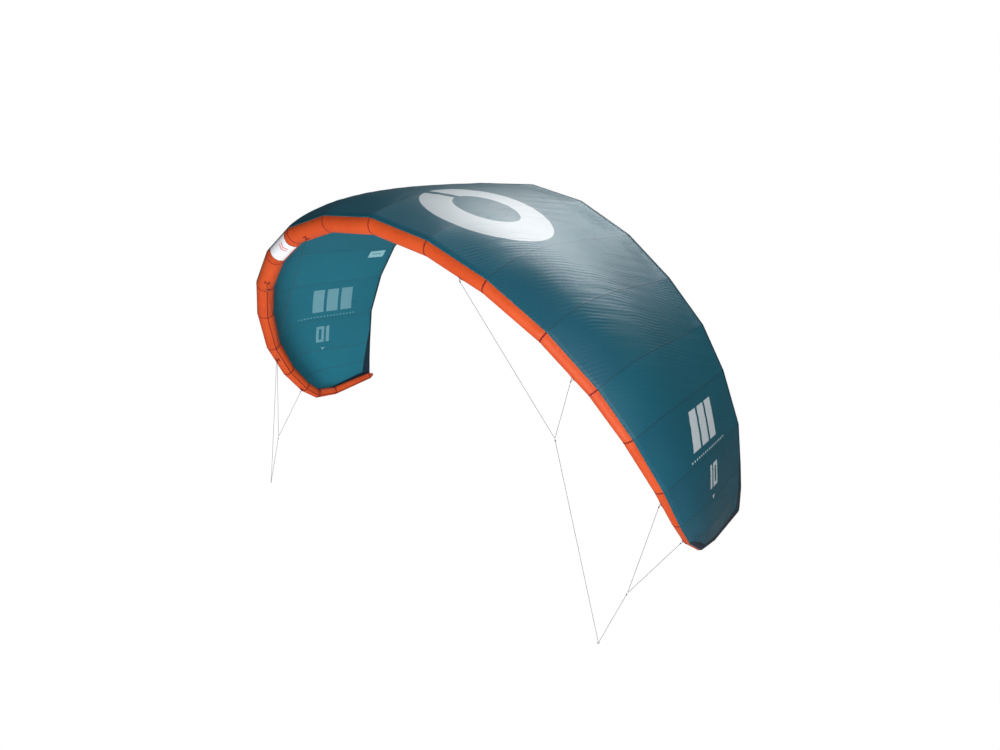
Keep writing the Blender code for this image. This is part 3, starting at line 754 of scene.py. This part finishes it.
def add_end_cap(side, wing):
    """Rolled and folded end of the tube: it narrows in pleats to a flat, sewn stub."""
    points = []
    for row in range(END_CAP_ROWS + 1):
        share = row / END_CAP_ROWS
        pleat = 0.0016 * sin(pi * share) ** 0.7
        for angle in RING_ANGLES[:-1]:
            drop = pleat * (0.5 + 0.5 * sin(radians(angle) * 9.0))
            points.append(cap_point(END_CAP_LENGTH * share, angle, -drop))
    for radius in (END_CAP_RADIUS * 0.72, END_CAP_RADIUS * 0.35, 0.0004):
        points += [cap_point(END_CAP_LENGTH - 0.0006, angle, 0.0, radius) for angle in RING_ANGLES[:-1]]
    faces = flipped(grid_faces(END_CAP_ROWS + 4, RING_SIDES, wrap=True))
    faces.append(tuple(range(len(points) - RING_SIDES, len(points))))
    made = add_mesh(f"tube_end_{wing}", points, faces, TUBE_CLOTH, side)
    set_attributes(made, tube_x=[p.y for p in points], tube_y=[p.z for p in points])
    attach(made, "tube_orange", f"le_end_cap_{wing}")


def add_bladder():
    """Clear film tube inside the cloth, from tip to tip."""
    sides = 36
    inset = 0.0060
    rings = []
    for seam in range(LAST_SEAM + 1):
        ring = [around(seam, TUBE_RADII[seam] - inset, angle) for angle in spread(0.0, 360.0, sides)[:-1]]
        rings.append(ring)
        if seam:
            rings.insert(0, [mirrored(point, -1) for point in ring])
    faces = flipped(grid_faces(len(rings), sides, wrap=True)) + end_faces(len(rings), sides)
    made = add_mesh("bladder_tube", sum(rings, []), faces, FILM)
    made.data.set_sharp_from_angle(angle=radians(60.0))
    attach(made, "bladder_clear", "bladder")


# ---- strips that lie on the tube ----


TAPE_HALF = 0.0062
TAPE_GAP = 0.0005
# How far past the last seam of the arch a second tape runs beside the first.
SECOND_TAPE = 0.017
TAPE_PROFILE = ((-1.0, 0.0), (-0.8, 0.0004), (-0.25, 0.0012), (0.25, 0.0012), (0.8, 0.0004), (1.0, 0.0))


def seam_ring_rows(seam, offset):
    """Rows of a seam tape: each crosses the seam at one angle round the tube."""
    return [
        [ring_place(seam, offset + share * TAPE_HALF, angle, lift) for share, lift in TAPE_PROFILE]
        for angle in RING_ANGLES
    ]


def ring_place(seam, distance, angle_deg, lift):
    """Point near a seam, at a distance along the tube from it. Negative is towards the middle."""
    if seam == 0 and distance < 0:
        return mirrored(ring_place(0, -distance, angle_deg, lift), -1)
    if seam == LAST_SEAM and distance >= 0:
        return cap_point(distance, angle_deg, lift + TAPE_GAP)
    segment = seam + (distance >= 0)
    share = distance / segment_length(segment) + (segment == seam)
    return tube_point(segment, share, angle_deg, lift + TAPE_GAP)


def add_seam_tapes(side, wing):
    rows_list = [seam_ring_rows(seam, 0.0) for seam in range(1, LAST_SEAM + 1)]
    rows_list.append(seam_ring_rows(LAST_ARC_SEAM, SECOND_TAPE))
    add_tape_set(f"seam_tapes_{wing}", rows_list, side)
    if side > 0:
        add_tape_set("seam_tape_middle", [seam_ring_rows(0, 0.0)], side)


def add_tape_set(name, rows_list, side, material=None, slot="webbing_red", thickness=0.0006):
    """Several strips in one piece, each from rows of points that run across it."""
    points, faces, along, across = [], [], [], []
    for rows in rows_list:
        faces += flipped(grid_faces(len(rows), len(rows[0]), len(points)))
        far = 0.0
        for before, row in zip([rows[0], *rows], rows):
            far += (row[0] - before[0]).length
            middle = (row[0] + row[-1]) / 2
            for point in row:
                points.append(point)
                along.append(far)
                sign = 1.0 if (point - row[0]).length > (point - row[-1]).length else -1.0
                across.append(sign * (point - middle).length)
    made = add_mesh(name, points, faces, material or SEAM_TAPE, side)
    set_attributes(made, tape_along=along, tape_across=across)
    thicken(made, thickness)
    attach(made, slot)
    return made


def tube_run(start_segment, start_share, pitch):
    """Places along the tube to its end as (segment, share), with one on each seam."""
    places = []
    for segment in range(start_segment, LAST_SEAM + 1):
        low = start_share if segment == start_segment else 0.0
        count = max(2, round(segment_length(segment) * (1.0 - low) / pitch))
        shares = spread(low, 1.0, count)
        places += [(segment, share) for share in shares[0 if segment == start_segment else 1 :]]
    return places


def run_rows(places, angle_deg, profile, point):
    """Rows of a tape along the tube at one angle, from a profile of (width, lift)."""
    rows = []
    for segment, share in places:
        per_metre = degrees(1.0 / radius_at(segment, share))
        rows.append([point(segment, share, angle_deg + width * per_metre, lift) for width, lift in profile])
    return rows


LONG_SEAM_DEG = 163.0
LONG_SEAM_PROFILE = ((-0.0035, 0.0006), (-0.0012, 0.0014), (0.0012, 0.0014), (0.0035, 0.0006))
EDGE_PROFILE = ((0.0055, 0.0006), (0.0010, 0.0020), (-0.0045, 0.0034), (-0.0060, 0.0034))
BAND_EDGE_PROFILE = ((-0.004, 0.0014), (-0.001, 0.0022), (0.001, 0.0022), (0.004, 0.0014))
BAR_PROFILE = ((-1.0, 0.0), (-0.8, 0.0009), (0.0, 0.0012), (0.8, 0.0009), (1.0, 0.0))


def add_long_seam(side, wing):
    """Sewn joint along the inner side of the tube, from the valve to the end."""
    places = tube_run(VALVE_SEGMENT, VALVE_SHARE + 0.06, 0.012)
    rows = run_rows(places, LONG_SEAM_DEG, LONG_SEAM_PROFILE, tube_point)
    add_tape_set(f"long_seam_{wing}", [rows], side)


def add_canopy_edge(side, wing):
    """Tape over the edge of the canopy where it is sewn to the tube."""
    rows = run_rows(tube_run(1, 0.0, 0.02), CANOPY_SEAM_DEG, EDGE_PROFILE, skin)
    add_tape_set(f"canopy_edge_{wing}", [rows], side, EDGE_TAPE, "canopy_teal", 0.0005)


def add_label_band():
    """White band sewn round one segment, with a row of stitching at each end."""
    length = segment_length(BAND_SEGMENT)
    radius = radius_at(BAND_SEGMENT, 0.5)
    middle = sum(BAND_DEG) / 2
    shares = spread(*BAND_SHARES, 36)
    angles = spread(*BAND_DEG, 42)
    points, along, across = [], [], []
    for share in shares:
        for angle in angles:
            points.append(tube_point(BAND_SEGMENT, share, angle, 0.0010))
            along.append(share * length)
            across.append(radians(angle - middle) * radius)
    faces = flipped(grid_faces(len(shares), len(angles)))
    made = add_mesh("label_cloth", points, faces, BAND_CLOTH, -1)
    set_attributes(made, tape_along=along, tape_across=across)
    thicken(made, 0.0007)
    attach(made, "band_white", "label_band")
    rows_list = []
    for share in BAND_SHARES:
        row = [(share + width / length, lift) for width, lift in BAND_EDGE_PROFILE]
        rows = [[tube_point(BAND_SEGMENT, at, angle, lift) for at, lift in row] for angle in angles]
        rows_list.append(rows)
    add_tape_set("label_stitching", rows_list, -1)


# ---- bridle tabs ----

CORD_RADIUS = 0.0019


def circle(count):
    """Cosine and sine of even steps round a circle."""
    return [(cos(turn), sin(turn)) for turn in spread(0.0, 2 * pi, count)[:-1]]


def tab_bar(segment, share, middle, long_half, round_half, lift):
    """Rows of a webbing bar with rounded edges that follows the tube."""
    turn = degrees(round_half / radius_at(segment, share))
    rows = []
    for along in spread(-long_half, long_half, 8):
        place = share + along / segment_length(segment)
        rows.append([skin(segment, place, middle - width * turn, lift + rise) for width, rise in BAR_PROFILE])
    return rows


def add_tab(number, side, wing):
    """Webbing tab: two bars along the tube and a link between them, under the loop."""
    segment, share, angle = TAB_PLACES[number]
    reach = 0.014 if number > 1 else 0.018
    turn = degrees(reach / radius_at(segment, share))
    bars = [tab_bar(segment, share, at, 0.026, 0.0052, 0.0008) for at in (angle - turn, angle + turn)]
    bars.append(tab_bar(segment, share, angle, 0.0065, reach, 0.0012))
    made = add_tape_set(f"tab_webbing_{number + 1}_{wing}", bars, side, WEBBING, "webbing_red", 0.0012)
    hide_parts(f"bridle_tab_{number + 1}_{wing}")
    add_tab_loop(number, side, wing)


def add_ring_tube(name, path, radius, material, side, closed=False, sides=10):
    """Round cord along a path of points."""
    points = []
    up = None
    longer = [path[-1], *path, path[0]] if closed else [path[0], *path, path[-1]]
    for before, here, after in zip(longer, path, longer[2:]):
        along = (after - before).normalized()
        up = up or along.orthogonal().normalized()
        up = (up - along * up.dot(along)).normalized()
        across = along.cross(up)
        points += [here + radius * (c * up + s * across) for c, s in circle(sides)]
    faces = flipped(grid_faces(len(path), sides, wrap=True, closed=closed))
    if not closed:
        faces += end_faces(len(path), sides)
    return add_mesh(name, points, faces, material, side)


def surface_frame(segment, share, angle_deg):
    """Point on the tube, its outward normal and the direction along the tube."""
    here = skin(segment, share, angle_deg, 0.0)
    along = segment_direction(segment)
    turned = skin(segment, share, angle_deg + 1.0, 0.0) - skin(segment, share, angle_deg - 1.0, 0.0)
    normal = turned.cross(along).normalized()
    return here, normal, (along - normal * along.dot(normal)).normalized()


def add_tab_loop(number, side, wing):
    """Short loop of cord that stands on the tab and holds the bridle line."""
    here, normal, along = surface_frame(*TAB_PLACES[number])
    path = []
    for turn in spread(0.0, pi, 16):
        out = 0.0015 + 0.0105 * sin(turn)
        path.append(here + normal * out + along * (0.0075 * cos(turn)))
    made = add_ring_tube(f"tab_loop_{number + 1}_{wing}", path, CORD_RADIUS, WEBBING, side)
    attach(made, "webbing_red")


# ---- knots ----

KNOT_TURNS = 4
KNOT_STEPS = KNOT_TURNS * 14
KNOT_PITCH = 0.0031


def add_knot(label, start, aim, reach, side, body):
    """Turns of line wound round another line, a little way along it."""
    axis = (aim - start).normalized()
    across = axis.orthogonal().normalized()
    up = axis.cross(across)
    path = []
    for share in spread(0.0, 1.0, KNOT_STEPS):
        turn = 2 * pi * KNOT_TURNS * share
        along = reach + KNOT_PITCH * KNOT_TURNS * (share - 0.5)
        round_it = cos(turn) * across + sin(turn) * up
        path.append(start + axis * along + (LINE_RADIUS + 0.0013) * round_it)
    made = add_ring_tube(f"knot_{label}", path, 0.0014, BRAID, side)
    attach(made, "bridle_grey", body=body)
    return made


def add_knots(side, wing):
    """Lark's heads where the fans tie to the tabs, and the knots where the lines meet."""
    knots = {}
    for part, tabs, knot in (("front_fan", (0, 1), FRONT), ("tip_fan", (2, 3), TIP)):
        knots[part] = [
            add_knot(f"{part}_{end}_{wing}", tab_anchor(tab), knot, 0.010, side, f"{part}_{wing}")
            for end, tab in zip(("start", "end"), tabs)
        ]
    for part, knot in (("front_leader", FRONT), ("tip_leader", TIP)):
        name = f"{part}_{wing}"
        knots[part] = [add_knot(name, knot, LOOP, 0.013, side, name)]
    return knots


def add_line_loop(side, wing):
    """Loop of line where the two leaders meet and the flying line ties on."""
    down = (LOOP - (FRONT + TIP) / 2).normalized()
    sideways = (TIP - FRONT).normalized()
    across = (sideways - down * sideways.dot(down)).normalized()
    path = [LOOP + across * (0.0062 * c) + down * (0.0078 * s) for c, s in circle(28)]
    made = add_ring_tube(f"line_loop_{wing}", path, CORD_RADIUS, BRAID, side, closed=True)
    attach(made, "webbing_red", f"front_line_loop_{wing}", body=f"tip_leader_{wing}")


# ---- valve ----

VALVE_SIDES = 48
VALVE_HINGE_UNDER = 0.0123
# Profiles as (radius, height). The plug's heights are from the underside of its hinge.
PATCH_PROFILE = ((0.0104, 0.0002), (0.0215, -0.0018), (0.0220, -0.0010), (0.0210, 0.0002), (0.0104, 0.0014))
NECK_PROFILE = (
    (0.0075, -0.0044), (0.0102, -0.0044), (0.0102, 0.0104), (0.0112, 0.0106),
    (0.0112, 0.0118), (0.0108, 0.0120), (0.0080, 0.0120), (0.0075, 0.0114),
)
FLAP_PROFILE = ((0.0, 0.0), (0.0074, 0.0), (0.0074, 0.0008), (0.0, 0.0012))
PLUG_PROFILE = (
    (0.0, -0.0050), (0.0054, -0.0050), (0.0061, -0.0042), (0.0061, 0.0), (0.0142, 0.0), (0.0150, 0.0008),
    (0.0150, 0.0052), (0.0142, 0.0064), (0.0128, 0.0070), (0.0090, 0.0066), (0.0, 0.0062),
)


def turned(name, profile, material):
    """Closed solid from a profile turned about the valve's axis."""
    here, normal, along = surface_frame(VALVE_SEGMENT, VALVE_SHARE, VALVE_DEG)
    across = normal.cross(along)
    points = []
    for radius, height in profile:
        centre = here + normal * height
        points += [centre + (c * along + s * across) * radius for c, s in circle(VALVE_SIDES)]
    faces = grid_faces(len(profile), VALVE_SIDES, wrap=True, closed=True)
    made = add_mesh(name, points, faces, material, -1)
    clean(made, 0.00001)
    made.data.set_sharp_from_angle(angle=radians(35.0))
    return made


def add_valve():
    """Welded flange patch and neck with a flap inside, and the hinged plug."""
    attach(turned("valve_patch", PATCH_PROFILE, VALVE_PLASTIC), "valve_orange")
    attach(turned("valve_neck", NECK_PROFILE, VALVE_PLASTIC), "valve_orange", "valve_base")
    attach(turned("valve_flap", FLAP_PROFILE, VALVE_SEAL), "valve_orange")
    raised = [(radius, VALVE_HINGE_UNDER + height) for radius, height in PLUG_PROFILE]
    attach(turned("valve_plug", raised, VALVE_PLASTIC), "valve_orange", "valve_cap", body="valve_cap")


# ---- canopy ----

SPAN_STEPS = (22, 22, 20, 18, 15, 16, 12, 10)
ROW_STEPS_PER_PLACE = 6
WRAP_STEPS = 5
TIP_FREE_STEPS = 14
WAVE_HEIGHT = 0.0022
# Places 0 to 11 along the free part of a section, as the CAD counts them.
FREE_PLACES = spread(0.0, CANOPY_STEPS, CANOPY_STEPS * ROW_STEPS_PER_PLACE)


def place_share(place):
    return (place / CANOPY_STEPS) ** CANOPY_STEP_POWER


def curve_point(a, b, c, d, share):
    rest = 1.0 - share
    return a * rest**3 + b * 3 * rest * rest * share + c * 3 * rest * share * share + d * share**3


def lift_curve(seam, radius, share):
    """The free part of a canopy section, from where it lifts off the tube to the trailing edge."""
    outward, forward = FRAMES[seam]
    target = TRAILING[seam]
    start = around(seam, radius, CANOPY_LIFT_DEGS[seam])
    lift = radians(CANOPY_LIFT_DEGS[seam])
    leave = sin(lift) * outward - cos(lift) * forward
    chord = (target - SEAMS[seam]).normalized()
    rear = radians(CANOPY_REAR_DEG)
    arrive = cos(rear) * chord - sin(rear) * outward
    reach = (target - start).length
    front_handle = start + leave * (CANOPY_FRONT_HANDLE * reach)
    rear_handle = target - arrive * (CANOPY_REAR_HANDLE * reach)
    return curve_point(start, front_handle, rear_handle, target, share)


def canopy_section(seam):
    radius = TUBE_RADII[seam] + CANOPY_STANDOFF
    wrap = spread(CANOPY_SEAM_DEG, CANOPY_LIFT_DEGS[seam], WRAP_STEPS)[:-1]
    points = [around(seam, radius, angle) for angle in wrap]
    points += [lift_curve(seam, radius, place_share(place)) for place in FREE_PLACES]
    return np.array(points)


def smoothstep(value, low, high):
    share = np.clip((value - low) / (high - low), 0.0, 1.0)
    return share * share * (3.0 - 2.0 * share)


def bulge_weights():
    """How far each row follows a smooth curve across the seams rather than straight runs."""
    shares = np.array([0.0] * WRAP_STEPS + [place_share(place) for place in FREE_PLACES])
    return smoothstep(shares, 0.0, 0.22) * (1.0 - smoothstep(shares, 0.86, 1.0))


MIRROR = np.array([-1.0, 1.0, 1.0])


def tangents(sections, widths):
    """Tangents across the seams for unequal panel widths."""
    before = np.concatenate([sections[1:2] * MIRROR, sections[:-1]])
    after = np.concatenate([sections[1:], sections[-1:]])
    spans = np.concatenate([widths[:1], widths]) + np.concatenate([widths, 0.0 * widths[:1]])
    return (after - before) / spans[:, :, None]


def wing_columns():
    """Columns of canopy points from the middle to seam 8, with each column's seam coordinate."""
    sections = np.array([canopy_section(seam) for seam in range(PANEL_COUNT + 1)])
    widths = np.linalg.norm(np.diff(sections, axis=0), axis=2)
    slopes = tangents(sections, widths)
    weight = bulge_weights()[:, None]
    columns = []
    coordinates = []
    for panel in range(PANEL_COUNT):
        low, high = sections[panel], sections[panel + 1]
        third = widths[panel][:, None] / 3
        for t in spread(0.0, 1.0, SPAN_STEPS[panel])[0 if panel == 0 else 1 :]:
            straight = low + (high - low) * t
            smooth = curve_point(low, low + third * slopes[panel], high - third * slopes[panel + 1], high, t)
            columns.append(straight + (smooth - straight) * weight)
            coordinates.append(panel + t)
    return np.array(columns), np.array(coordinates), widths


def tip_position(place):
    """Seam coordinate down the tip tube for a place along the section at seam 8."""
    passed = np.cumsum((0, *TIP_COLUMN_STEPS))
    return float(np.interp(place, passed, PANEL_COUNT + np.arange(len(passed))))


def tip_ring(position, angle_deg, lift):
    """Point round the tip tube, or round the folded end past the last seam."""
    segment = min(int(position) + 1, LAST_SEAM)
    share = position - segment + 1
    if segment == LAST_SEAM:
        length = segment_length(LAST_SEAM)
        distance = share * (length + TIP_OVERRUN)
        if distance > length:
            return cap_point(distance - length, angle_deg, lift)
        share = distance / length
    return skin(segment, share, angle_deg, lift)


def tip_patch(top):
    """Grid that closes the tip: from seam 8's free part down round the tip tube to its sewn line."""
    rows = []
    for place, head in zip(FREE_PLACES, top[WRAP_STEPS:]):
        position = tip_position(place)
        contact = TIP_CONTACT_DEG[0] + (TIP_CONTACT_DEG[1] - TIP_CONTACT_DEG[0]) * smoothstep(place, 0.0, 1.6)
        foot = np.array(tip_ring(position, contact, CANOPY_STANDOFF))
        if place > CANOPY_STEPS - 1.0:
            foot = foot + (np.array(REAR_CORNER) - foot) * (place - CANOPY_STEPS + 1.0) ** 2
        row = spread(head, foot, TIP_FREE_STEPS)
        for angle in spread(contact, CANOPY_SEAM_DEG, WRAP_STEPS)[1:]:
            row.append(np.array(tip_ring(position, angle, CANOPY_STANDOFF)))
        rows.append(row)
    # The grid's first axis is down the patch and its second is back.
    return np.array(rows).transpose(1, 0, 2)


def cumulative(points, axis):
    steps = np.linalg.norm(np.diff(points, axis=axis), axis=2)
    start = np.zeros_like(np.take(steps, [0], axis=axis))
    return np.concatenate([start, np.cumsum(steps, axis=axis)], axis=axis)


def wing_attributes(columns, coordinates, widths, patch):
    """Flat distances that the cloth's finish uses, for the panels and for the tip patch."""
    chord = cumulative(columns, 1)
    out = cumulative(columns, 0)
    span = out[:, WRAP_STEPS + (CANOPY_STEPS * ROW_STEPS_PER_PLACE) // 2]
    down = cumulative(patch, 0)
    along = cumulative(patch, 1)
    panel = np.minimum(coordinates.astype(int), PANEL_COUNT - 1)
    local = coordinates - panel
    share = np.minimum(local, 1.0 - local)
    drop = np.concatenate([np.full(WRAP_STEPS, down[-1, 0]), down[-1]])
    main = {
        "flat_x": span[:, None] * np.ones_like(chord),
        "flat_y": chord,
        "to_rear": chord[:, -1:] - chord,
        "to_tip": out[-1:] - out + drop,
        "seam_gap": share[:, None] * widths[panel],
        "panel": coordinates[:, None] * np.ones_like(chord),
    }
    tip = {
        "flat_x": span[-1] + down,
        "flat_y": chord[-1, WRAP_STEPS:] * np.ones_like(down),
        "to_rear": along[:, -1:] - along,
        "to_tip": down[-1:] - down,
        "seam_gap": down,
        "panel": np.full(down.shape, PANEL_COUNT - 0.5),
    }
    return main, tip


def cloth_waves(columns, main):
    """Low creases across the chord, which die away at the tube, the seams and the hems."""
    x = main["flat_x"]
    y = main["flat_y"]
    run = 0.90 * x - 0.43 * y
    height = np.sin(run * 52.0 + 1.2 * np.sin(y * 5.0)) * 0.5 + np.sin(run * 83.0 + y * 6.0 + 2.0) * 0.35
    height = height * (0.55 + 0.45 * np.sin(x * 7.0 + y * 3.0))
    quiet = smoothstep(y, 0.18, 0.40) * smoothstep(main["to_rear"], 0.0, 0.12)
    quiet = quiet * smoothstep(main["to_tip"], 0.10, 0.50)
    normal = np.cross(np.gradient(columns, axis=1), np.gradient(columns, axis=0))
    normal /= np.linalg.norm(normal, axis=2)[:, :, None] + 1e-12
    return columns + normal * (height * quiet * WAVE_HEIGHT)[:, :, None]


def add_canopy():
    """One sheet of both wings' panels and tip patches."""
    columns, coordinates, widths = wing_columns()
    main, tip = wing_attributes(columns, coordinates, widths, tip_patch(columns[-1]))
    columns = cloth_waves(columns, main)
    patch = tip_patch(columns[-1])
    full = np.concatenate([columns[:0:-1] * MIRROR, columns])
    faces = grid_faces(*full.shape[:2])
    faces += grid_faces(*patch.shape[:2], full[..., 0].size)
    faces += flipped(grid_faces(*patch.shape[:2], full[..., 0].size + patch[..., 0].size))
    points = [grid.reshape(-1, 3) for grid in (full, patch, patch * MIRROR)]
    made = add_mesh("canopy_cloth", np.concatenate(points).tolist(), faces, CANOPY_OUTSIDE)
    made.data.materials.append(CANOPY_INSIDE)
    for name, grid in main.items():
        odd = -1.0 if name == "flat_x" else 1.0
        grids = (odd * grid[:0:-1], grid, tip[name], odd * tip[name])
        set_attributes(made, **{name: np.concatenate([values.ravel() for values in grids])})
    clean(made, 0.0002, upward=True)
    thicken(made, CLOTH_THICKNESS).material_offset = 1
    panels = [f"canopy_panel_{panel}_{wing}" for _, wing in WINGS for panel in range(1, PANEL_COUNT + 1)]
    attach(made, "canopy_teal", *panels)
    return made


def add_wing(side, wing):
    for add in (add_tubes, add_end_cap, add_seam_tapes, add_long_seam, add_canopy_edge):
        add(side, wing)
    for number in range(len(TAB_PLACES)):
        add_tab(number, side, wing)
    knots = add_knots(side, wing)
    add_line_loop(side, wing)
    declare_cords()


def declare_cords():
    exits = {"front_fan": tab_anchor(0), "tip_fan": tab_anchor(2)}
    for part, route in ROUTES.items():
        sum((b - a).length for a, b in zip(route, route[1:]))


for side, wing in WINGS:
    add_wing(side, wing)
add_bladder()
add_label_band()
add_valve()
canopy = add_canopy()


# ---- studio ----

WORLD_LIGHT = 0.24
FLOOR_DEPTH = -5.5
FLOOR_HALF = 400.0


def add_floor():
    """Floor that the camera sees as plain white, and that lights the kite only weakly."""
    mesh = bpy.data.meshes.new("studio_floor")
    corners = ((-1, -1), (1, -1), (1, 1), (-1, 1))
    mesh.from_pydata([(x * FLOOR_HALF, y * FLOOR_HALF, FLOOR_DEPTH) for x, y in corners], [], [(0, 1, 2, 3)])
    made = Finish("studio_white")
    tone = made.mix(made.noise(0.2, 1.0), (0.36, 0.36, 0.36), (0.40, 0.40, 0.40))
    mesh.materials.append(made.finish(tone, 0.9, shine=0.0))
    seen = made.node("ShaderNodeLightPath", {}, "Is Camera Ray")
    shaders = {1: Value(made, made.shader.outputs[0]), 2: made.node("ShaderNodeEmission", {})}
    either = made.node("ShaderNodeMixShader", {0: seen, **shaders})
    made.feed(made.tree.nodes["Material Output"].inputs["Surface"], either)
    add_object("studio_floor", mesh)


def add_world():
    world = bpy.data.worlds.new("studio_world")
    SCENE.world = world
    world.use_nodes = True
    tree = world.node_tree
    back = tree.nodes["Background"]
    back.inputs["Color"].default_value = (1.0, 1.0, 1.0, 1.0)
    path = tree.nodes.new("ShaderNodeLightPath")
    strength = tree.nodes.new("ShaderNodeMapRange")
    strength.inputs["To Min"].default_value = WORLD_LIGHT
    tree.links.new(path.outputs["Is Camera Ray"], strength.inputs["Value"])
    tree.links.new(strength.outputs[0], back.inputs["Strength"])
    world.cycles_visibility.glossy = False


def add_light(name, place, aim, size, power, diffuse=True, glossy=True):
    data = bpy.data.lights.new(name, "AREA")
    data.shape = "RECTANGLE"
    data.size, data.size_y = size
    data.energy = power
    made = add_object(name, data)
    made.visible_diffuse = diffuse
    made.visible_glossy = glossy
    made.location = place
    made.rotation_euler = (Vector(aim) - Vector(place)).to_track_quat("-Z", "Y").to_euler()
    made.visible_camera = False


add_floor()
add_world()
add_light("softbox_sheen", (-1.8, 8.0, 6.0), (0.8, 0.8, -0.3), (7.5, 5.0), 900.0, diffuse=False)
add_light("softbox_top", (1.5, 6.5, 7.5), (0.5, 0.8, -0.5), (6.0, 5.0), 380.0, glossy=False)
add_light("softbox_front", (8.0, -5.6, 1.6), (0.8, 0.5, -1.3), (5.0, 5.0), 640.0)
add_light("softbox_fill", (-4.5, 8.5, 2.0), (0.0, 0.8, -1.0), (5.0, 4.0), 320.0, glossy=False)
add_light("softbox_under", (1.2, -4.0, -3.5), (-1.8, 0.6, -1.0), (3.0, 3.0), 300.0)
SCENE.view_settings.view_transform = "Standard"
